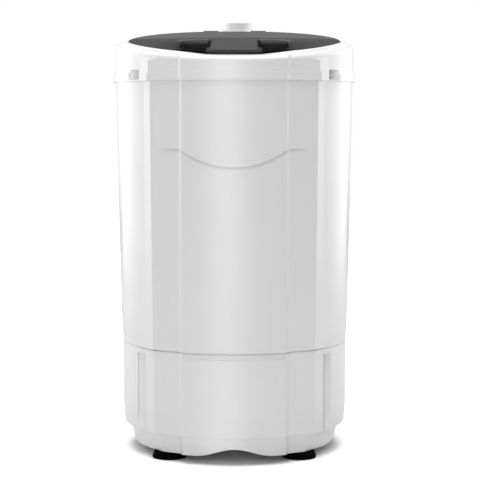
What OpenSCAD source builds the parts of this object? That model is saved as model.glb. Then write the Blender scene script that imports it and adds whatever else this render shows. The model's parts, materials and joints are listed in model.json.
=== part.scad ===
// Laundry spin dryer: a tapering plastic cabinet that holds a tub, a spinning drum and its motor.
// Millimetres. +Z is up, the front faces -Y and the floor is z = 0. The modules are drawn about the
// drum's axis, x = y = 0; the last block moves them back so that the origin is in the middle.

/* [Cabinet] */
// Radius of the jacket at its lower edge
jacket_r_low = 172; // [155:0.5:190]
// How much wider the jacket is at its upper edge
jacket_flare = 7; // [4:0.5:10]
// Height of the jacket between the base and the collar
jacket_h = 390; // [300:5:450]
// Wall of the jacket and the collar
shell_wall = 3; // [2.5:0.25:3.5]
// Half width of the bowed panel at the front and the back
panel_half_w = 75.2; // [68:0.2:80]
// How much farther back the bowed panel's centre of curvature lies than the cabinet's axis
panel_shift = 39; // [30:1:60]
// Direction that each flat flank faces, in degrees from the front
flank_az = 25.8; // [24:0.2:28]
// Direction of the corner where a flank ends, in degrees from the front
corner_az = 42.5; // [40:0.5:45]
// How far that corner stands out of the round column
corner_proud = 3; // [1.5:0.25:4]
// Depth of the step under the curved brow on the front
brow_step = 1.4; // [0.8:0.1:2.4]
// Height of the brow's lowest point above the base
brow_low_h = 267; // [220:1:300]
// Height from there to the brow's ends
brow_rise = 25.5; // [10:0.5:40]
// Depth of the groove round the jacket's foot at the sides
foot_groove_d = 1.6; // [0.8:0.1:2]
// Height of that groove
foot_groove_h = 11; // [6:1:16]

/* [Base] */
// How far the base stands in from the jacket's lower edge
base_in = 1.3; // [0.5:0.1:3]
// How far the base draws in towards its foot
toe_in = 2.5; // [1:0.1:6]
// Height of the seam between the base and the jacket
seam_z = 165; // [150:1:180]
// Height where the base starts to draw in
toe_top_z = 70; // [60:1:80]
// Height of the step from the base to the skirt
toe_z = 41; // [38:1:44]
// Depth of that step
skirt_in = 8.2; // [5:0.2:11]
// How far the skirt leans in towards its lower edge
skirt_lean = 8; // [5:0.5:11]
// Height of the skirt's lower edge above the floor
skirt_z = 11.5; // [9:0.5:14]
// Wall of the base
base_wall = 3.5; // [3:0.25:4.5]
// Height of the underside of the base's floor
floor_z = 26; // [24.5:0.5:30]
// Half width of the arch in the front of the skirt
arch_half_w = 57; // [40:1:62]
// Height of the arch
arch_h = 11.5; // [6:0.5:12.5]
// Depth of the shadow line under the seam
seam_rebate_d = 1.5; // [0.8:0.1:2]
// Height of the shadow line
seam_rebate_h = 1.4; // [0.8:0.1:3]
// Distance of each upright recess from the base's side
slot_in = 34.2; // [31:0.2:37]
// Width of each upright recess
slot_w = 11; // [8:0.5:12]
// Height of the rim between the recess and the seam
slot_rim = 9; // [7:1:30]
// Depth of the recess
slot_d = 10.5; // [7.5:0.5:12.5]
// Wall behind a recess
liner_wall = 2.6; // [2:0.2:3.2]

/* [Feet] */
// Distance of each foot's centre inside the skirt's lower edge
foot_in = 15.5; // [12:0.5:20]
// Radius of a rubber foot on the floor
foot_r = 25; // [20:0.5:27]
// Radius of a rubber foot at its top
foot_top_r = 22; // [16:0.5:24]
// Height of the foot below the skirt
foot_h = 11; // [8:0.5:11]
// Radius of the foot's neck inside the skirt
foot_neck_r = 10; // [8:0.5:10.5]
// Radius of the foot screw
foot_screw_r = 2.5; // [2:0.25:3]
// Radius of the cord gland's body, at the back of the base
gland_r = 7; // [5.5:0.25:8]
// Radius of the cord gland's bore
gland_bore_r = 3.8; // [3:0.1:4.4]
// Height of the cord gland above the floor
gland_z = 80; // [60:1:100]

/* [Collar] */
// How far the collar stands out of the jacket's upper edge
collar_out = 1; // [0.5:0.5:4]
// How far the lip stands out of the collar
lip_proud = 2.7; // [1:0.1:4]
// Height of the lip
lip_h = 12; // [8:0.5:16]
// Height of the deck above the jacket, at the axis
deck_h = 59; // [56:1:75]
// Slope of the deck down to the front, in degrees
deck_tilt = 8; // [6:0.5:9]
// Rounding of the collar's shoulder
shoulder_r = 8.5; // [5:0.5:9]
// Depth of the recess that the lid lies in
recess_d = 14; // [13:0.5:15]
// How much smaller than the drum the mouth is that the laundry goes in through
mouth_in = 14; // [12:1:24]
// Wall of the ring that leads from the mouth down to the drum
throat_wall = 2.7; // [2:0.1:3]
// Distance of the collar's front and back screws from the collar's side
tab_in = 37; // [36:0.5:39]
// Depth of the recess of each of those screws
tab_d = 11.3; // [10:0.1:12.5]

/* [Lid] */
// Width of the collar's edge round the lid's recess
rim_w = 17.5; // [15:0.5:21]
// Gap round the lid
lid_gap = 1.5; // [1:0.1:2]
// Wall of the lid
lid_wall = 3; // [2.5:0.25:3.5]
// Height of the lid's edge above the deck
lid_edge_h = 4.6; // [3.5:0.1:6]
// How much higher the lid is in its middle
lid_crown = 2.4; // [1:0.1:4]
// Rounding of the lid's edge
lid_edge_r = 3; // [1.5:0.25:3.5]
// How far the lid's straight back edge cuts in
lid_back_in = 10; // [8:0.5:12]
// Half width of the grip between the finger wells
grip_half_w = 35; // [30:0.5:38]
// Width of each finger well
well_w = 44; // [36:0.5:46]
// Length of each finger well
well_l = 112; // [90:1:116]
// Depth of each finger well
well_d = 14; // [10:0.5:14.5]
// Wall of the lid under a finger well
well_wall = 2.2; // [1.6:0.1:2.4]
// Distance of the wells' front end from the lid's edge
well_in = 36; // [34:0.5:42]

/* [Hinge and control] */
// Radius of a hinge pin
hinge_pin_r = 2.5; // [2:0.1:2.8]
// Radius of a lid knuckle
knuckle_r = 4.4; // [4:0.1:4.5]
// Distance of a knuckle's inner end from the centre plane
knuckle_x = 26; // [22:1:30]
// Length of a knuckle
knuckle_l = 24; // [16:1:26]
// Half width of the control housing
housing_half_w = 56; // [54:1:62]
// Distance of the housing's front wall behind the lid's straight edge
housing_gap = 15; // [14.5:0.1:15.5]
// Depth of the housing from front to back
housing_depth = 43; // [42:0.5:50]
// Height of the sloping underside at the housing's back wall, above the lip
housing_rise = 33; // [24:1:40]
// Radius of the timer knob
knob_r = 21.8; // [16:0.2:22]
// Height of the timer knob
knob_h = 15; // [11:0.5:18]
// Distance of the knob from the centre plane
knob_x = 5.5; // [0:0.5:10]
// Distance of the knob's centre behind the housing's front wall, along the deck
knob_back = 21; // [20.5:0.1:22]
// Radius of the timer's case
timer_r = 15; // [12:0.5:15.5]
// Height of the timer's case
timer_h = 30; // [22:1:34]
// Radius of the timer's spindle
spindle_r = 3; // [2.5:0.25:3.5]
// Radius of the lid switch's plunger
plunger_r = 2.5; // [2:0.25:3]

/* [Tub and drum] */
// Gap between the jacket's wall and the tub, at the jacket's lower edge
tub_room = 18; // [17:0.5:21]
// Height of the tub's underside above the seam
tub_rise = 30.5; // [28:0.5:36]
// Wall of the tub
tub_wall = 2.5; // [2:0.25:3]
// Gap between the tub's wall and the drum
drum_gap = 9.5; // [7:0.5:14]
// Thickness of the drum's sheet
drum_sheet = 1.2; // [0.8:0.1:2]
// Height of the ring on top of the drum
drum_rim_h = 8; // [6:0.5:12]
// Radius of the holes in the drum's wall
drum_hole_r = 3; // [2:0.25:4]
// Radius of the flange that carries the drum
flange_r = 38; // [30:1:46]
// Number of rows of holes
drum_rows = 7; // [4:1:9]
// Number of holes round the drum in each row
drum_cols = 12; // [8:2:16]
// Outer radius of the drain spout
spout_r = 12; // [10:0.5:13]
// Bore radius of the drain spout
spout_bore_r = 9.5; // [8:0.25:9.75]
// How far the spout reaches past the collar's lip
spout_past_lip = 29.3; // [20:0.1:45]

/* [Motor] */
// Height of the rubber mounts that the motor stands on
mount_h = 110; // [100:1:120]
// Radius of a rubber mount
mount_r = 14; // [10:0.5:16]
// Distance of each mount's centre inside the motor plate's edge
mount_in = 19; // [16:1:24]
// Thickness of the plate that the motor hangs from
plate_t = 3; // [2.5:0.25:4]
// Gap between that plate and the tub's posts
plate_room = 13; // [10:1:16]
// Radius of the motor
motor_r = 60; // [54:0.5:64]
// Wall of the motor's end bells
bell_wall = 3; // [2:0.25:4]
// Height of the motor's end bells together with its core
motor_h = 88; // [80:1:92]
// Height of the iron core
core_h = 36; // [28:1:40]
// Radius of the rotor
rotor_r = 31.5; // [26:0.5:34]
// Radius of the drive shaft
shaft_r = 7; // [6:0.25:8]
// Outer radius of a bearing
bearing_r = 17.5; // [15:0.5:19]
// Height of a bearing
bearing_h = 11; // [8:0.5:12]
// Radius of the motor's cooling fan
fan_r = 40; // [30:1:50]

/* [Brake] */
// Radius of the brake drum
brake_r = 42; // [36:0.5:44]
// Height of the brake drum
brake_h = 14; // [11:0.5:16]
// Distance of the brake lever's pivot from the axis
pivot_pos_r = 70; // [68:0.5:74]
// Height of the pivot above the motor plate
pivot_h = 8; // [7:0.25:9]
// Width of the brake lever
lever_w = 8; // [6:0.5:9]
// Radius of the brake lever's pivot pin
pivot_pin_r = 2.5; // [2:0.1:3]
// Radius of the brake rod
rod_r = 2.5; // [2:0.1:2.8]
// Gap between the brake pad and its drum while the lid is closed
pad_gap = 1.4; // [1.3:0.1:2.5]
// Thickness of the brake pad
pad_t = 6; // [4:0.5:8]
// Direction of the brake lever from the axis, in degrees from +X
lever_az = 126.5; // [124:0.5:128]
// Radius of the motor's capacitor
cap_r = 18; // [14:0.5:19]
// Height of the motor's capacitor
cap_h = 60; // [50:1:80]
// Gap between the motor and the capacitor's clip
cap_room = 16; // [12:1:24]

/* [Fits] */
// Gap between still pieces that slip into each other
slip_gap = 0.3; // [0.2:0.05:0.5]
// Radial gap round a turning shaft or pin
run_gap = 0.05; // [0.03:0.01:0.1]

/* [Hidden] */
$fn = 96;

over = 1;                                        // how far a cutter passes a face
jacket_r_high = jacket_r_low + jacket_flare;
jacket_top_z = seam_z + jacket_h;
brow_end_h = brow_low_h + brow_rise;
base_r = jacket_r_low - base_in;
gland_shank = 1.8 * gland_r;
toe_r = base_r - toe_in;
skirt_r_high = toe_r - skirt_in;
skirt_r_low = skirt_r_high - skirt_lean;
foot_pos_r = skirt_r_low - foot_in;
slot_x = base_r - slot_in;
slot_h = seam_z - toe_z - over - slot_rim;
slot_floor_y = sqrt(pow(base_r, 2) - pow(slot_x, 2)) - slot_d;
collar_r = jacket_r_high + collar_out;
tab_x = collar_r - tab_in;
tab_floor_y = sqrt(pow(collar_r, 2) - pow(tab_x, 2)) - tab_d;
lid_r = collar_r - rim_w - lid_gap;
lid_back = lid_r - lid_back_in;
well_front = lid_r - well_in;
housing_front = lid_back + housing_gap;
housing_back = housing_front + housing_depth;
knob_v = housing_front + knob_back;
deck_z = jacket_top_z + deck_h;
deck_t = 3;                                      // thickness of the deck
lip_r = collar_r + lip_proud;
spout_reach = lip_r + spout_past_lip;
frame_y = (spout_reach - lip_r) / 2;             // from the part's origin forward to the drum's axis
recess_r = lid_r + lid_gap;
floor_top_z = floor_z + base_wall;
boss_z = skirt_z + 2.5;                          // underside of the bosses that the feet seat on
spigot_wall = 2.3;
spigot_h = 14;

plate_z = floor_top_z + mount_h;
plate_top_z = plate_z + plate_t;
tub_r = jacket_r_low - shell_wall - tub_room;
tub_floor_z = seam_z + tub_rise;
post_d = 14;                                     // depth of the posts that the tub stands on
plate_r = tub_r - post_d - plate_room;
mount_pos_r = plate_r - mount_in;
tub_top_z = jacket_top_z + 7;
tub_floor_top_z = tub_floor_z + tub_wall;
drum_r = tub_r - tub_wall - drum_gap;
mouth_r = drum_r - mouth_in;
drum_floor_z = tub_floor_top_z + 13;
drum_top_z = tub_top_z - 6;
spout_z = tub_floor_top_z + spout_bore_r + 0.5;
seal_hole_r = shaft_r + 13;                      // hole in the tub's floor that the shaft's seal fills
spout_root_r = spout_r + 0.8;
spout_shoulder_y = jacket_r(spout_z) + 4;

motor_top_z = plate_z;
motor_low_z = motor_top_z - motor_h;
core_z = motor_low_z + (motor_h - core_h) / 2;
brake_z = plate_top_z + pivot_h + 8;
pivot_z = plate_top_z + pivot_h;
rod_pos_r = tub_r + 1 + rod_r;
rod_x = rod_pos_r * cos(lever_az);
rod_y = rod_pos_r * sin(lever_az);

hinge_v = lid_back + 5;                          // along the deck from the axis to the hinge
hinge_w = 1;                                     // above the deck
ear_t = 7;
ear_gap = 0.5;
striker_w = -10;                                 // underside of the lid's strikers, from the deck
striker_r = 5;
striker_v = (rod_y + striker_w * sin(deck_tilt)) / cos(deck_tilt);
lug_y = tab_floor_y - 2.8;
tab_z = jacket_top_z + 9;
tab_half_w = 6;
tab_half_h = 7;
housing_top_w = 2.5;                             // top of the control housing, above the deck
housing_wall = 2.5;
housing_low = jacket_top_z + lip_h + 2;
housing_screw_x = 42;
housing_screw_z = deck_height(housing_front, -8.5);
pad_inner_r = brake_r + pad_gap;

// Height of the plane that lies w above the deck, over the point y
function deck_height(y, w) = deck_z + y * tan(deck_tilt) + w / cos(deck_tilt);
// Points of an arc about (cx, cy) in equal steps
function arc(cx, cy, r, from, to, steps) =
    [for (i = [0:steps]) let (a = from + (to - from) * i / steps) [cx + r * cos(a), cy + r * sin(a)]];
function jacket_r(z) = jacket_r_low + (jacket_r_high - jacket_r_low) * (z - seam_z) / jacket_h;

module on_deck() {
    translate([0, 0, deck_z]) rotate([deck_tilt, 0, 0]) children();
}

module both_sides() {
    for (side = [0, 1]) mirror([side, 0, 0]) children();
}

module all_corners() {
    for (back = [0, 1]) mirror([0, back, 0]) both_sides() children();
}

module ring(r_out, r_in, h) {
    difference() {
        cylinder(r = r_out, h = h);
        translate([0, 0, -over]) cylinder(r = r_in, h = h + 2 * over);
    }
}

module rounded_rect(x0, y0, x1, y1, r) {
    translate([x0 + r, y0]) square([x1 - x0 - 2 * r, y1 - y0]);
    translate([x0, y0 + r]) square([x1 - x0, y1 - y0 - 2 * r]);
    for (x = [x0 + r, x1 - r], y = [y0 + r, y1 - r]) translate([x, y]) circle(r);
}

// ---- The cabinet's outline: a round, drafted column with a bowed panel and two flat flanks,
// ---- at the front and again at the back

function flank_sink(r) = r - (r + corner_proud) * cos(corner_az - flank_az);
function corner_s(r) = (r + corner_proud) * sin(corner_az - flank_az);
function chord_depth(r) = r + panel_shift - sqrt(pow(r + panel_shift, 2) - pow(panel_half_w, 2));

// A frame on the flank: +X leans out with the draft, +Y runs along the flank towards the corner
module on_flank(r, z, draft) {
    rotate([0, 0, flank_az - 90]) translate([r, 0, z]) rotate([0, draft, 0]) children();
}

// The flank's flat face, cut away from a column of radius r; above the brow it leans out a little
module flank_cut(r, h, draft, inset, brow_h) {
    sink = flank_sink(r) * cos(draft) + inset;
    end_s = corner_s(r) + 8;
    translate([-sink, -20, -10]) cube([40, end_s + 20, brow_h + 10]);
    if (brow_h < h)
        translate([-sink, corner_s(r), brow_h]) rotate([0, 0, atan(brow_step / (corner_s(r) - 5))])
            translate([0, -corner_s(r) - 20, 0]) cube([40, corner_s(r) + 28, h - brow_h + 20]);
}

// The wedge that carries the corner out of the round column
module corner_wedge(r, h, draft) {
    tip = [-flank_sink(r), corner_s(r)];
    heel_a = corner_az - flank_az + 9.5;
    heel = [r * (cos(heel_a) - 1) - 0.6, r * sin(heel_a)];
    lead = tip + (tip - heel) * 0.16;
    points = [heel, lead, [tip.x - 1.5, tip.y - 16], [-25, tip.y - 16], [-30, tip.y + 10]];
    translate([0, 0, -10])
        linear_extrude(height = h + 20)
            polygon([for (p = points) [p.x * cos(draft), p.y]]);
}

module bowed_panel(r_low, r_high, z_low, h, draft, inset, proud = 0) {
    wall_lean = 0.42;
    depths = [40, -30];
    // half width of the panel at a depth behind its middle
    function half_at(depth) = panel_half_w - inset + (depth - chord_depth(r_low)) * wall_lean;
    intersection() {
        translate([0, panel_shift, z_low])
            cylinder(h = h, r1 = r_low + panel_shift - inset + proud,
                     r2 = r_high + panel_shift - inset + proud, $fn = 180);
        translate([0, -r_low + inset, z_low]) rotate([draft, 0, 0]) translate([0, 0, -10])
            linear_extrude(height = h + 20)
                polygon([for (side = [-1, 1], i = side < 0 ? [0, 1] : [1, 0])
                    [side * half_at(depths[i]), depths[i] * cos(draft)]]);
    }
}

// The round column with its flat flanks, without the bowed panels
module flanked_column(r_low, r_high, z_low, h, inset, brow_h) {
    draft = atan((r_high - r_low) / h);
    difference() {
        union() {
            translate([0, 0, z_low])
                cylinder(h = h, r1 = r_low - inset, r2 = r_high - inset, $fn = 180);
            if (inset == 0)
                all_corners()
                    intersection() {
                        on_flank(r_low, z_low, draft) corner_wedge(r_low, h, draft);
                        translate([0, -250, z_low]) cube([250, 250, h]);
                    }
        }
        for (back = [0, 1]) mirror([0, back, 0]) both_sides()
            on_flank(r_low, z_low, draft)
                flank_cut(r_low, h, draft, inset, back == 0 && brow_h < h ? brow_h : h + 20);
    }
}

module cabinet_form(r_low, r_high, z_low, z_high, inset = 0, brow_h = 10000) {
    h = z_high - z_low;
    flanked_column(r_low, r_high, z_low, h, inset, brow_h);
    for (back = [0, 1]) mirror([0, back, 0])
        bowed_panel(r_low, r_high, z_low, h, atan((r_high - r_low) / h), inset);
}

// ---- Base

module skirt_arch() {
    steps = 24;
    translate([0, 250, skirt_z]) rotate([90, 0, 0])
        linear_extrude(height = 500)
            polygon(concat([[arch_half_w, -20], [-arch_half_w, -20]],
                [for (i = [0:steps]) let (u = 2 * i / steps - 1)
                    [arch_half_w * u, arch_h * (1 + cos(180 * u)) / 2 - 0.01]]));
}

module base_outer() {
    cabinet_form(toe_r, base_r, toe_z, toe_top_z);
    cabinet_form(base_r, base_r, toe_top_z, seam_z - seam_rebate_h);
    cabinet_form(base_r, base_r, seam_z - seam_rebate_h, seam_z, seam_rebate_d);
    cabinet_form(skirt_r_low, skirt_r_high, skirt_z, toe_z);
}

module slot_liner() {
    all_corners()
        translate([slot_x - slot_w / 2 - liner_wall, -250, toe_z - over])
            cube([slot_w + 2 * liner_wall, 250 - slot_floor_y + liner_wall, slot_h + 2 * liner_wall]);
}

module base_hollow() {
    difference() {
        union() {
            cabinet_form(toe_r, base_r, toe_z + base_wall, toe_top_z, base_wall);
            cabinet_form(base_r, base_r, toe_top_z, seam_z + over, base_wall);
        }
        slot_liner();
    }
    cabinet_form(skirt_r_low + 4, skirt_r_low + 4, floor_top_z, toe_z + base_wall + 0.01, base_wall);
    cabinet_form(skirt_r_low, skirt_r_low + 2, skirt_z - over, floor_z, base_wall);
}

module tub_posts() {
    post = [post_d, 9];
    for (a = [45:90:315]) rotate([0, 0, a])
        translate([tub_r - post.x, -post.y / 2, floor_z + over])
            cube([post.x, post.y, tub_floor_z - floor_z - over]);
}

module base_shell() {
    color("whitesmoke")
    difference() {
        union() {
            difference() {
                base_outer();
                base_hollow();
            }
            difference() {
                cabinet_form(jacket_r_low, jacket_r_low, seam_z - 9, seam_z + spigot_h,
                             shell_wall + slip_gap);
                cabinet_form(jacket_r_low, jacket_r_low, seam_z - 10, seam_z + spigot_h + over,
                             shell_wall + slip_gap + spigot_wall);
            }
            tub_posts();
            foot_places() translate([0, 0, boss_z]) cylinder(r = foot_neck_r + 1, h = floor_z - boss_z + over);
            for (a = mount_angles()) rotate([0, 0, a])
                translate([mount_pos_r, 0, floor_top_z - over]) ring(mount_r + 6.6, mount_r + 4.2, 7);
        }
        skirt_arch();
        all_corners()
            translate([slot_x - slot_w / 2, -250, toe_z + over])
                cube([slot_w, 250 - slot_floor_y, slot_h]);
        panel_band();
        foot_places() translate([0, 0, boss_z - over]) cylinder(r = foot_screw_r + 0.1, h = 30);
        for (a = mount_angles()) rotate([0, 0, a])
            translate([mount_pos_r, 0, floor_z - over]) cylinder(r = 3.2, h = 10);
        translate([0, base_r, gland_z]) cube([gland_shank + 0.2, 40, gland_shank + 0.2], center = true);
        seam_screw_places() rotate([-90, 0, 0]) translate([0, 0, -14]) cylinder(r = 2.1, h = 30);
        for (a = [0:30:330]) rotate([0, 0, a])
            translate([28, -3, floor_z - over]) cube([38, 6, base_wall + 2 * over]);
    }
}

// The shallow band across the front panel, just below the seam
module panel_band() {
    difference() {
        translate([-panel_half_w + 2, -250, seam_z - 9]) cube([2 * panel_half_w - 4, 150, 5]);
        translate([0, panel_shift, seam_z - 10]) cylinder(r = base_r + panel_shift - 0.8, h = 10, $fn = 180);
    }
}

// The cord's gland outside the wall, and the bush behind it, whose square shank can't turn in the wall
module cord_gland() {
    color("dimgray")
    translate([0, base_r, gland_z]) rotate([-90, 0, 0])
        difference() {
            union() {
                translate([0, 0, 0.1]) cylinder(r1 = gland_r + 4, r2 = gland_r + 3, h = 3);
                translate([0, 0, 3]) cylinder(r1 = 6.5, r2 = 5.5, h = 8);
            }
            translate([0, 0, -10]) cylinder(r = gland_bore_r, h = 30);
        }
}

module cord_bush() {
    color("dimgray")
    translate([0, base_r, gland_z]) rotate([-90, 0, 0])
        difference() {
            union() {
                translate([0, 0, -(base_wall + 5) / 2])
                    cube([gland_shank, gland_shank, base_wall + 5], center = true);
                translate([0, 0, -base_wall - 5]) cylinder(r = gland_r + 3, h = 4.5, $fn = 6);
            }
            translate([0, 0, -base_wall - 6]) cylinder(r = gland_bore_r + 0.5, h = 30);
        }
}

module foot_places() {
    for (a = [45:90:315]) rotate([0, 0, a]) translate([foot_pos_r, 0, 0]) children();
}

module rubber_feet() {
    neck_top = boss_z;
    color([0.05, 0.05, 0.05])
    foot_places()
        rotate_extrude()
            polygon([[foot_screw_r + 0.1, 5], [6.5, 5], [6.5, 0], [foot_r - 1, 0], [foot_r, 1], [foot_r, 2.5],
                     [foot_top_r, foot_h], [foot_neck_r, foot_h], [foot_neck_r, neck_top],
                     [foot_screw_r + 0.1, neck_top]]);
}

module foot_screws() {
    color("silver")
    foot_places() {
        translate([0, 0, 2.5]) cylinder(r = 5.5, h = 2.5);
        translate([0, 0, 4]) cylinder(r = foot_screw_r, h = floor_z - 4);
    }
}

// ---- Jacket

module brow() {
    half = panel_half_w + 1.5;
    rise = brow_end_h - brow_low_h;
    arc_r = (half * half + rise * rise) / (2 * rise);
    arc_z = seam_z + brow_low_h + arc_r;
    intersection() {
        bowed_panel(jacket_r_low, jacket_r_high, seam_z, jacket_h, atan((jacket_r_high - jacket_r_low) / jacket_h),
                    0, brow_step);
        difference() {
            translate([-half, -250, seam_z + brow_low_h]) cube([2 * half, 200, jacket_h - brow_low_h]);
            difference() {
                translate([-250, -251, seam_z]) cube([500, 202, brow_end_h]);
                translate([0, -40, arc_z]) rotate([90, 0, 0]) cylinder(r = arc_r, h = 220, $fn = 180);
            }
        }
    }
}

module jacket_lugs() {
    all_corners() {
        translate([tab_x - tab_half_w, -lug_y, jacket_top_z - 16])
            cube([10.5, 10, 16 + 2 * tab_half_h + 2]);
        intersection() {
            translate([tab_x - tab_half_w, -lug_y, jacket_top_z - 16]) cube([17, 10, 15]);
            cylinder(r = jacket_r_high - 1.4, h = jacket_top_z + 100);
        }
    }
}

module seam_screw_places() {
    for (x = [-45, 45])
        translate([x, sqrt(pow(jacket_r_low + panel_shift, 2) - x * x) - panel_shift, seam_z + spigot_h / 2])
            children();
}

module seam_screws() {
    color("silver")
    seam_screw_places() rotate([-90, 0, 0]) {
        translate([0, 0, 1.1]) cylinder(r = 4, h = 2);
        translate([0, 0, -9]) cylinder(r = 2, h = 11);
    }
}

module body_shell() {
    color("white")
    difference() {
        union() {
            difference() {
                union() {
                    cabinet_form(jacket_r_low, jacket_r_high, seam_z, jacket_top_z, 0, brow_end_h);
                    brow();
                }
                cabinet_form(jacket_r(seam_z - over), jacket_r(jacket_top_z + over),
                             seam_z - over, jacket_top_z + over, shell_wall);
            }
            jacket_lugs();
        }
        // groove round the foot of the side columns
        intersection() {
            translate([0, 0, seam_z - over])
                ring(jacket_r_high + 20, jacket_r_low - foot_groove_d, foot_groove_h + over);
            translate([-250, -slot_floor_y - 6, 0]) cube([500, 2 * slot_floor_y + 12, 400]);
        }
        all_corners() translate([tab_x, -lug_y - over, tab_z]) rotate([-90, 0, 0])
            cylinder(r = 2, h = 20);
        seam_screw_places() rotate([-90, 0, 0]) translate([0, 0, -20]) cylinder(r = 2.2, h = 40);
        translate([0, tub_r, spout_z]) rotate([-90, 0, 0]) cylinder(r = spout_root_r + 2.5, h = 60);
    }
}

// ---- Collar

// The collar's top edge is rounded in the deck's frame. The deck leans, so the rounding starts at the
// lean's angle and moves forward a little, which brings its lower end onto the upright wall.
function shoulder_arc(from, steps) = arc(-shoulder_r, -shoulder_r, shoulder_r, from, 90, steps);
shoulder_shift = -shoulder_r * (1 - sin(deck_tilt)) * tan(deck_tilt);

// A disc in the deck's plane with that rounded edge, widening below it
module shoulder_disc(r) {
    depth = 150;
    rotate_extrude($fn = 180)
        polygon(concat([[0, -depth], [r + 40, -depth], [r + 40, -shoulder_r - 40]],
            [for (p = shoulder_arc(deck_tilt, 10)) [p.x + r, p.y]], [[0, 0]]));
}

// What the rounding takes off along one flat flank of the front or (back = 1) the back
module flank_shoulder_cut() {
    across = sqrt(pow(sin(flank_az), 2) + pow(cos(flank_az) * cos(deck_tilt), 2));
    az = atan(tan(flank_az) / cos(deck_tilt));
    rotate([0, 0, az - 90]) translate([(collar_r - flank_sink(collar_r)) / across, 0, 0])
        rotate([90, 0, 0]) translate([0, 0, -corner_s(collar_r) - 25])
            linear_extrude(height = corner_s(collar_r) + 45)
                polygon(concat(shoulder_arc(deck_tilt / 2, 9), [[-shoulder_r, 20], [20, 20], [20, 10]]));
}

module collar_form() {
    h = deck_z + 60 - jacket_top_z;
    difference() {
        intersection() {
            flanked_column(collar_r, collar_r, jacket_top_z, h, 0, h + 20);
            on_deck() translate([0, shoulder_shift, 0]) shoulder_disc(collar_r * 1.005);
        }
        on_deck() translate([0, shoulder_shift, 0])
            for (back = [0, 1]) mirror([0, back, 0]) both_sides() flank_shoulder_cut();
    }
    for (back = [0, 1])
        intersection() {
            mirror([0, back, 0]) bowed_panel(collar_r, collar_r, jacket_top_z, h, 0, 0);
            on_deck() translate([0, shoulder_shift + (1 - 2 * back) * panel_shift / cos(deck_tilt), 0])
                shoulder_disc((collar_r + panel_shift) / cos(deck_tilt));
        }
}

// The block of the collar that the hinge and the housing's screws hold in
module hinge_block() {
    translate([-housing_half_w - 2, lid_back - 1, -recess_d - deck_t])
        cube([2 * housing_half_w + 4, 30, recess_d + deck_t]);
}

module collar_hollow() {
    difference() {
        intersection() {
            cabinet_form(collar_r, collar_r, jacket_top_z - over, deck_z + 60, shell_wall);
            on_deck() translate([-250, -250, -250]) cube([500, 500, 250 - deck_t]);
        }
        on_deck() translate([0, 0, -recess_d - deck_t]) cylinder(r = recess_r + shell_wall, h = 60);
        on_deck() hinge_block();
        all_corners()
            translate([tab_x - tab_half_w - 2.5, -250, jacket_top_z - 2])
                cube([2 * tab_half_w + 12, 250 - lug_y, tab_z + tab_half_h + 2 - jacket_top_z + 2]);
    }
}

// The recess for the lid: round, with a straight back and pockets for the knuckles
module lid_recess() {
    intersection() {
        translate([0, 0, -recess_d]) cylinder(r = recess_r, h = 60, $fn = 180);
        translate([-250, -250, -recess_d]) cube([500, 250 + lid_back + 1, 60]);
    }
    both_sides()
        translate([knuckle_x - ear_gap, lid_back - 3, hinge_w - knuckle_r - 1.6])
            cube([knuckle_l + 2 * ear_gap, 3 + 5 + knuckle_r + 0.8, 60]);
}

module hinge_ears() {
    both_sides()
        for (x = [knuckle_x - ear_gap - ear_t, knuckle_x + knuckle_l + ear_gap])
            translate([x, hinge_v, hinge_w]) {
                rotate([0, 90, 0]) cylinder(r = knuckle_r, h = ear_t);
                translate([0, -knuckle_r + 0.2, -hinge_w - 2]) cube([ear_t, 2 * knuckle_r - 0.4, hinge_w + 2]);
            }
}

module top_collar() {
    color("white")
    difference() {
        union() {
            difference() {
                union() {
                    collar_form();
                    cabinet_form(lip_r, lip_r, jacket_top_z, jacket_top_z + lip_h);
                }
                collar_hollow();
            }
            // spigot that slips into the jacket, and the ledge that sits on the jacket's edge
            difference() {
                cabinet_form(jacket_r_high, jacket_r_high, jacket_top_z - spigot_h, jacket_top_z + 3,
                             shell_wall + slip_gap + 0.2);
                cabinet_form(jacket_r_high, jacket_r_high, jacket_top_z - spigot_h - over, jacket_top_z + 4,
                             shell_wall + slip_gap + spigot_wall);
                all_corners()
                    translate([tab_x - tab_half_w - 1, -lug_y - 1, jacket_top_z - 30]) cube([22, 12, 40]);
            }
            difference() {
                cabinet_form(collar_r, collar_r, jacket_top_z, jacket_top_z + 3, 1);
                cabinet_form(jacket_r_high, jacket_r_high, jacket_top_z - over, jacket_top_z + 4,
                             shell_wall + slip_gap + spigot_wall);
                all_corners()
                    translate([tab_x - tab_half_w - 1, -lug_y, jacket_top_z - 30]) cube([22, 12, 40]);
            }
            on_deck() hinge_ears();
        }
        on_deck() {
            lid_recess();
            both_sides() translate([knuckle_x - 20, hinge_v, hinge_w]) rotate([0, 90, 0])
                cylinder(r = hinge_pin_r, h = knuckle_l + 40);
            translate([-rod_x, striker_v, -40]) cylinder(r = plunger_r + 0.3, h = 60);
        }
        housing_prism(-slip_gap, deck_z + 60);
        housing_screw_places() translate([0, 0, -13]) cylinder(r = 2, h = 20);
        translate([0, 0, jacket_top_z - 50]) cylinder(r = mouth_r + throat_wall + slip_gap, h = 200, $fn = 180);
        translate([rod_x, rod_y, deck_z - 60]) cylinder(r = rod_r + 0.6, h = 120);
        all_corners() {
            translate([tab_x - tab_half_w, -250, tab_z - tab_half_h])
                cube([2 * tab_half_w + 4, 250 - tab_floor_y, 2 * tab_half_h]);
            translate([tab_x, -tab_floor_y - over, tab_z]) rotate([-90, 0, 0]) cylinder(r = 2.1, h = 6);
        }
    }
}

module collar_screws() {
    color("gray")
    all_corners() translate([tab_x, -tab_floor_y, tab_z]) rotate([-90, 0, 0]) {
        translate([0, 0, -2]) cylinder(r = 3.4, h = 2);
        cylinder(r = 1.9, h = 12);
    }
}

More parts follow.
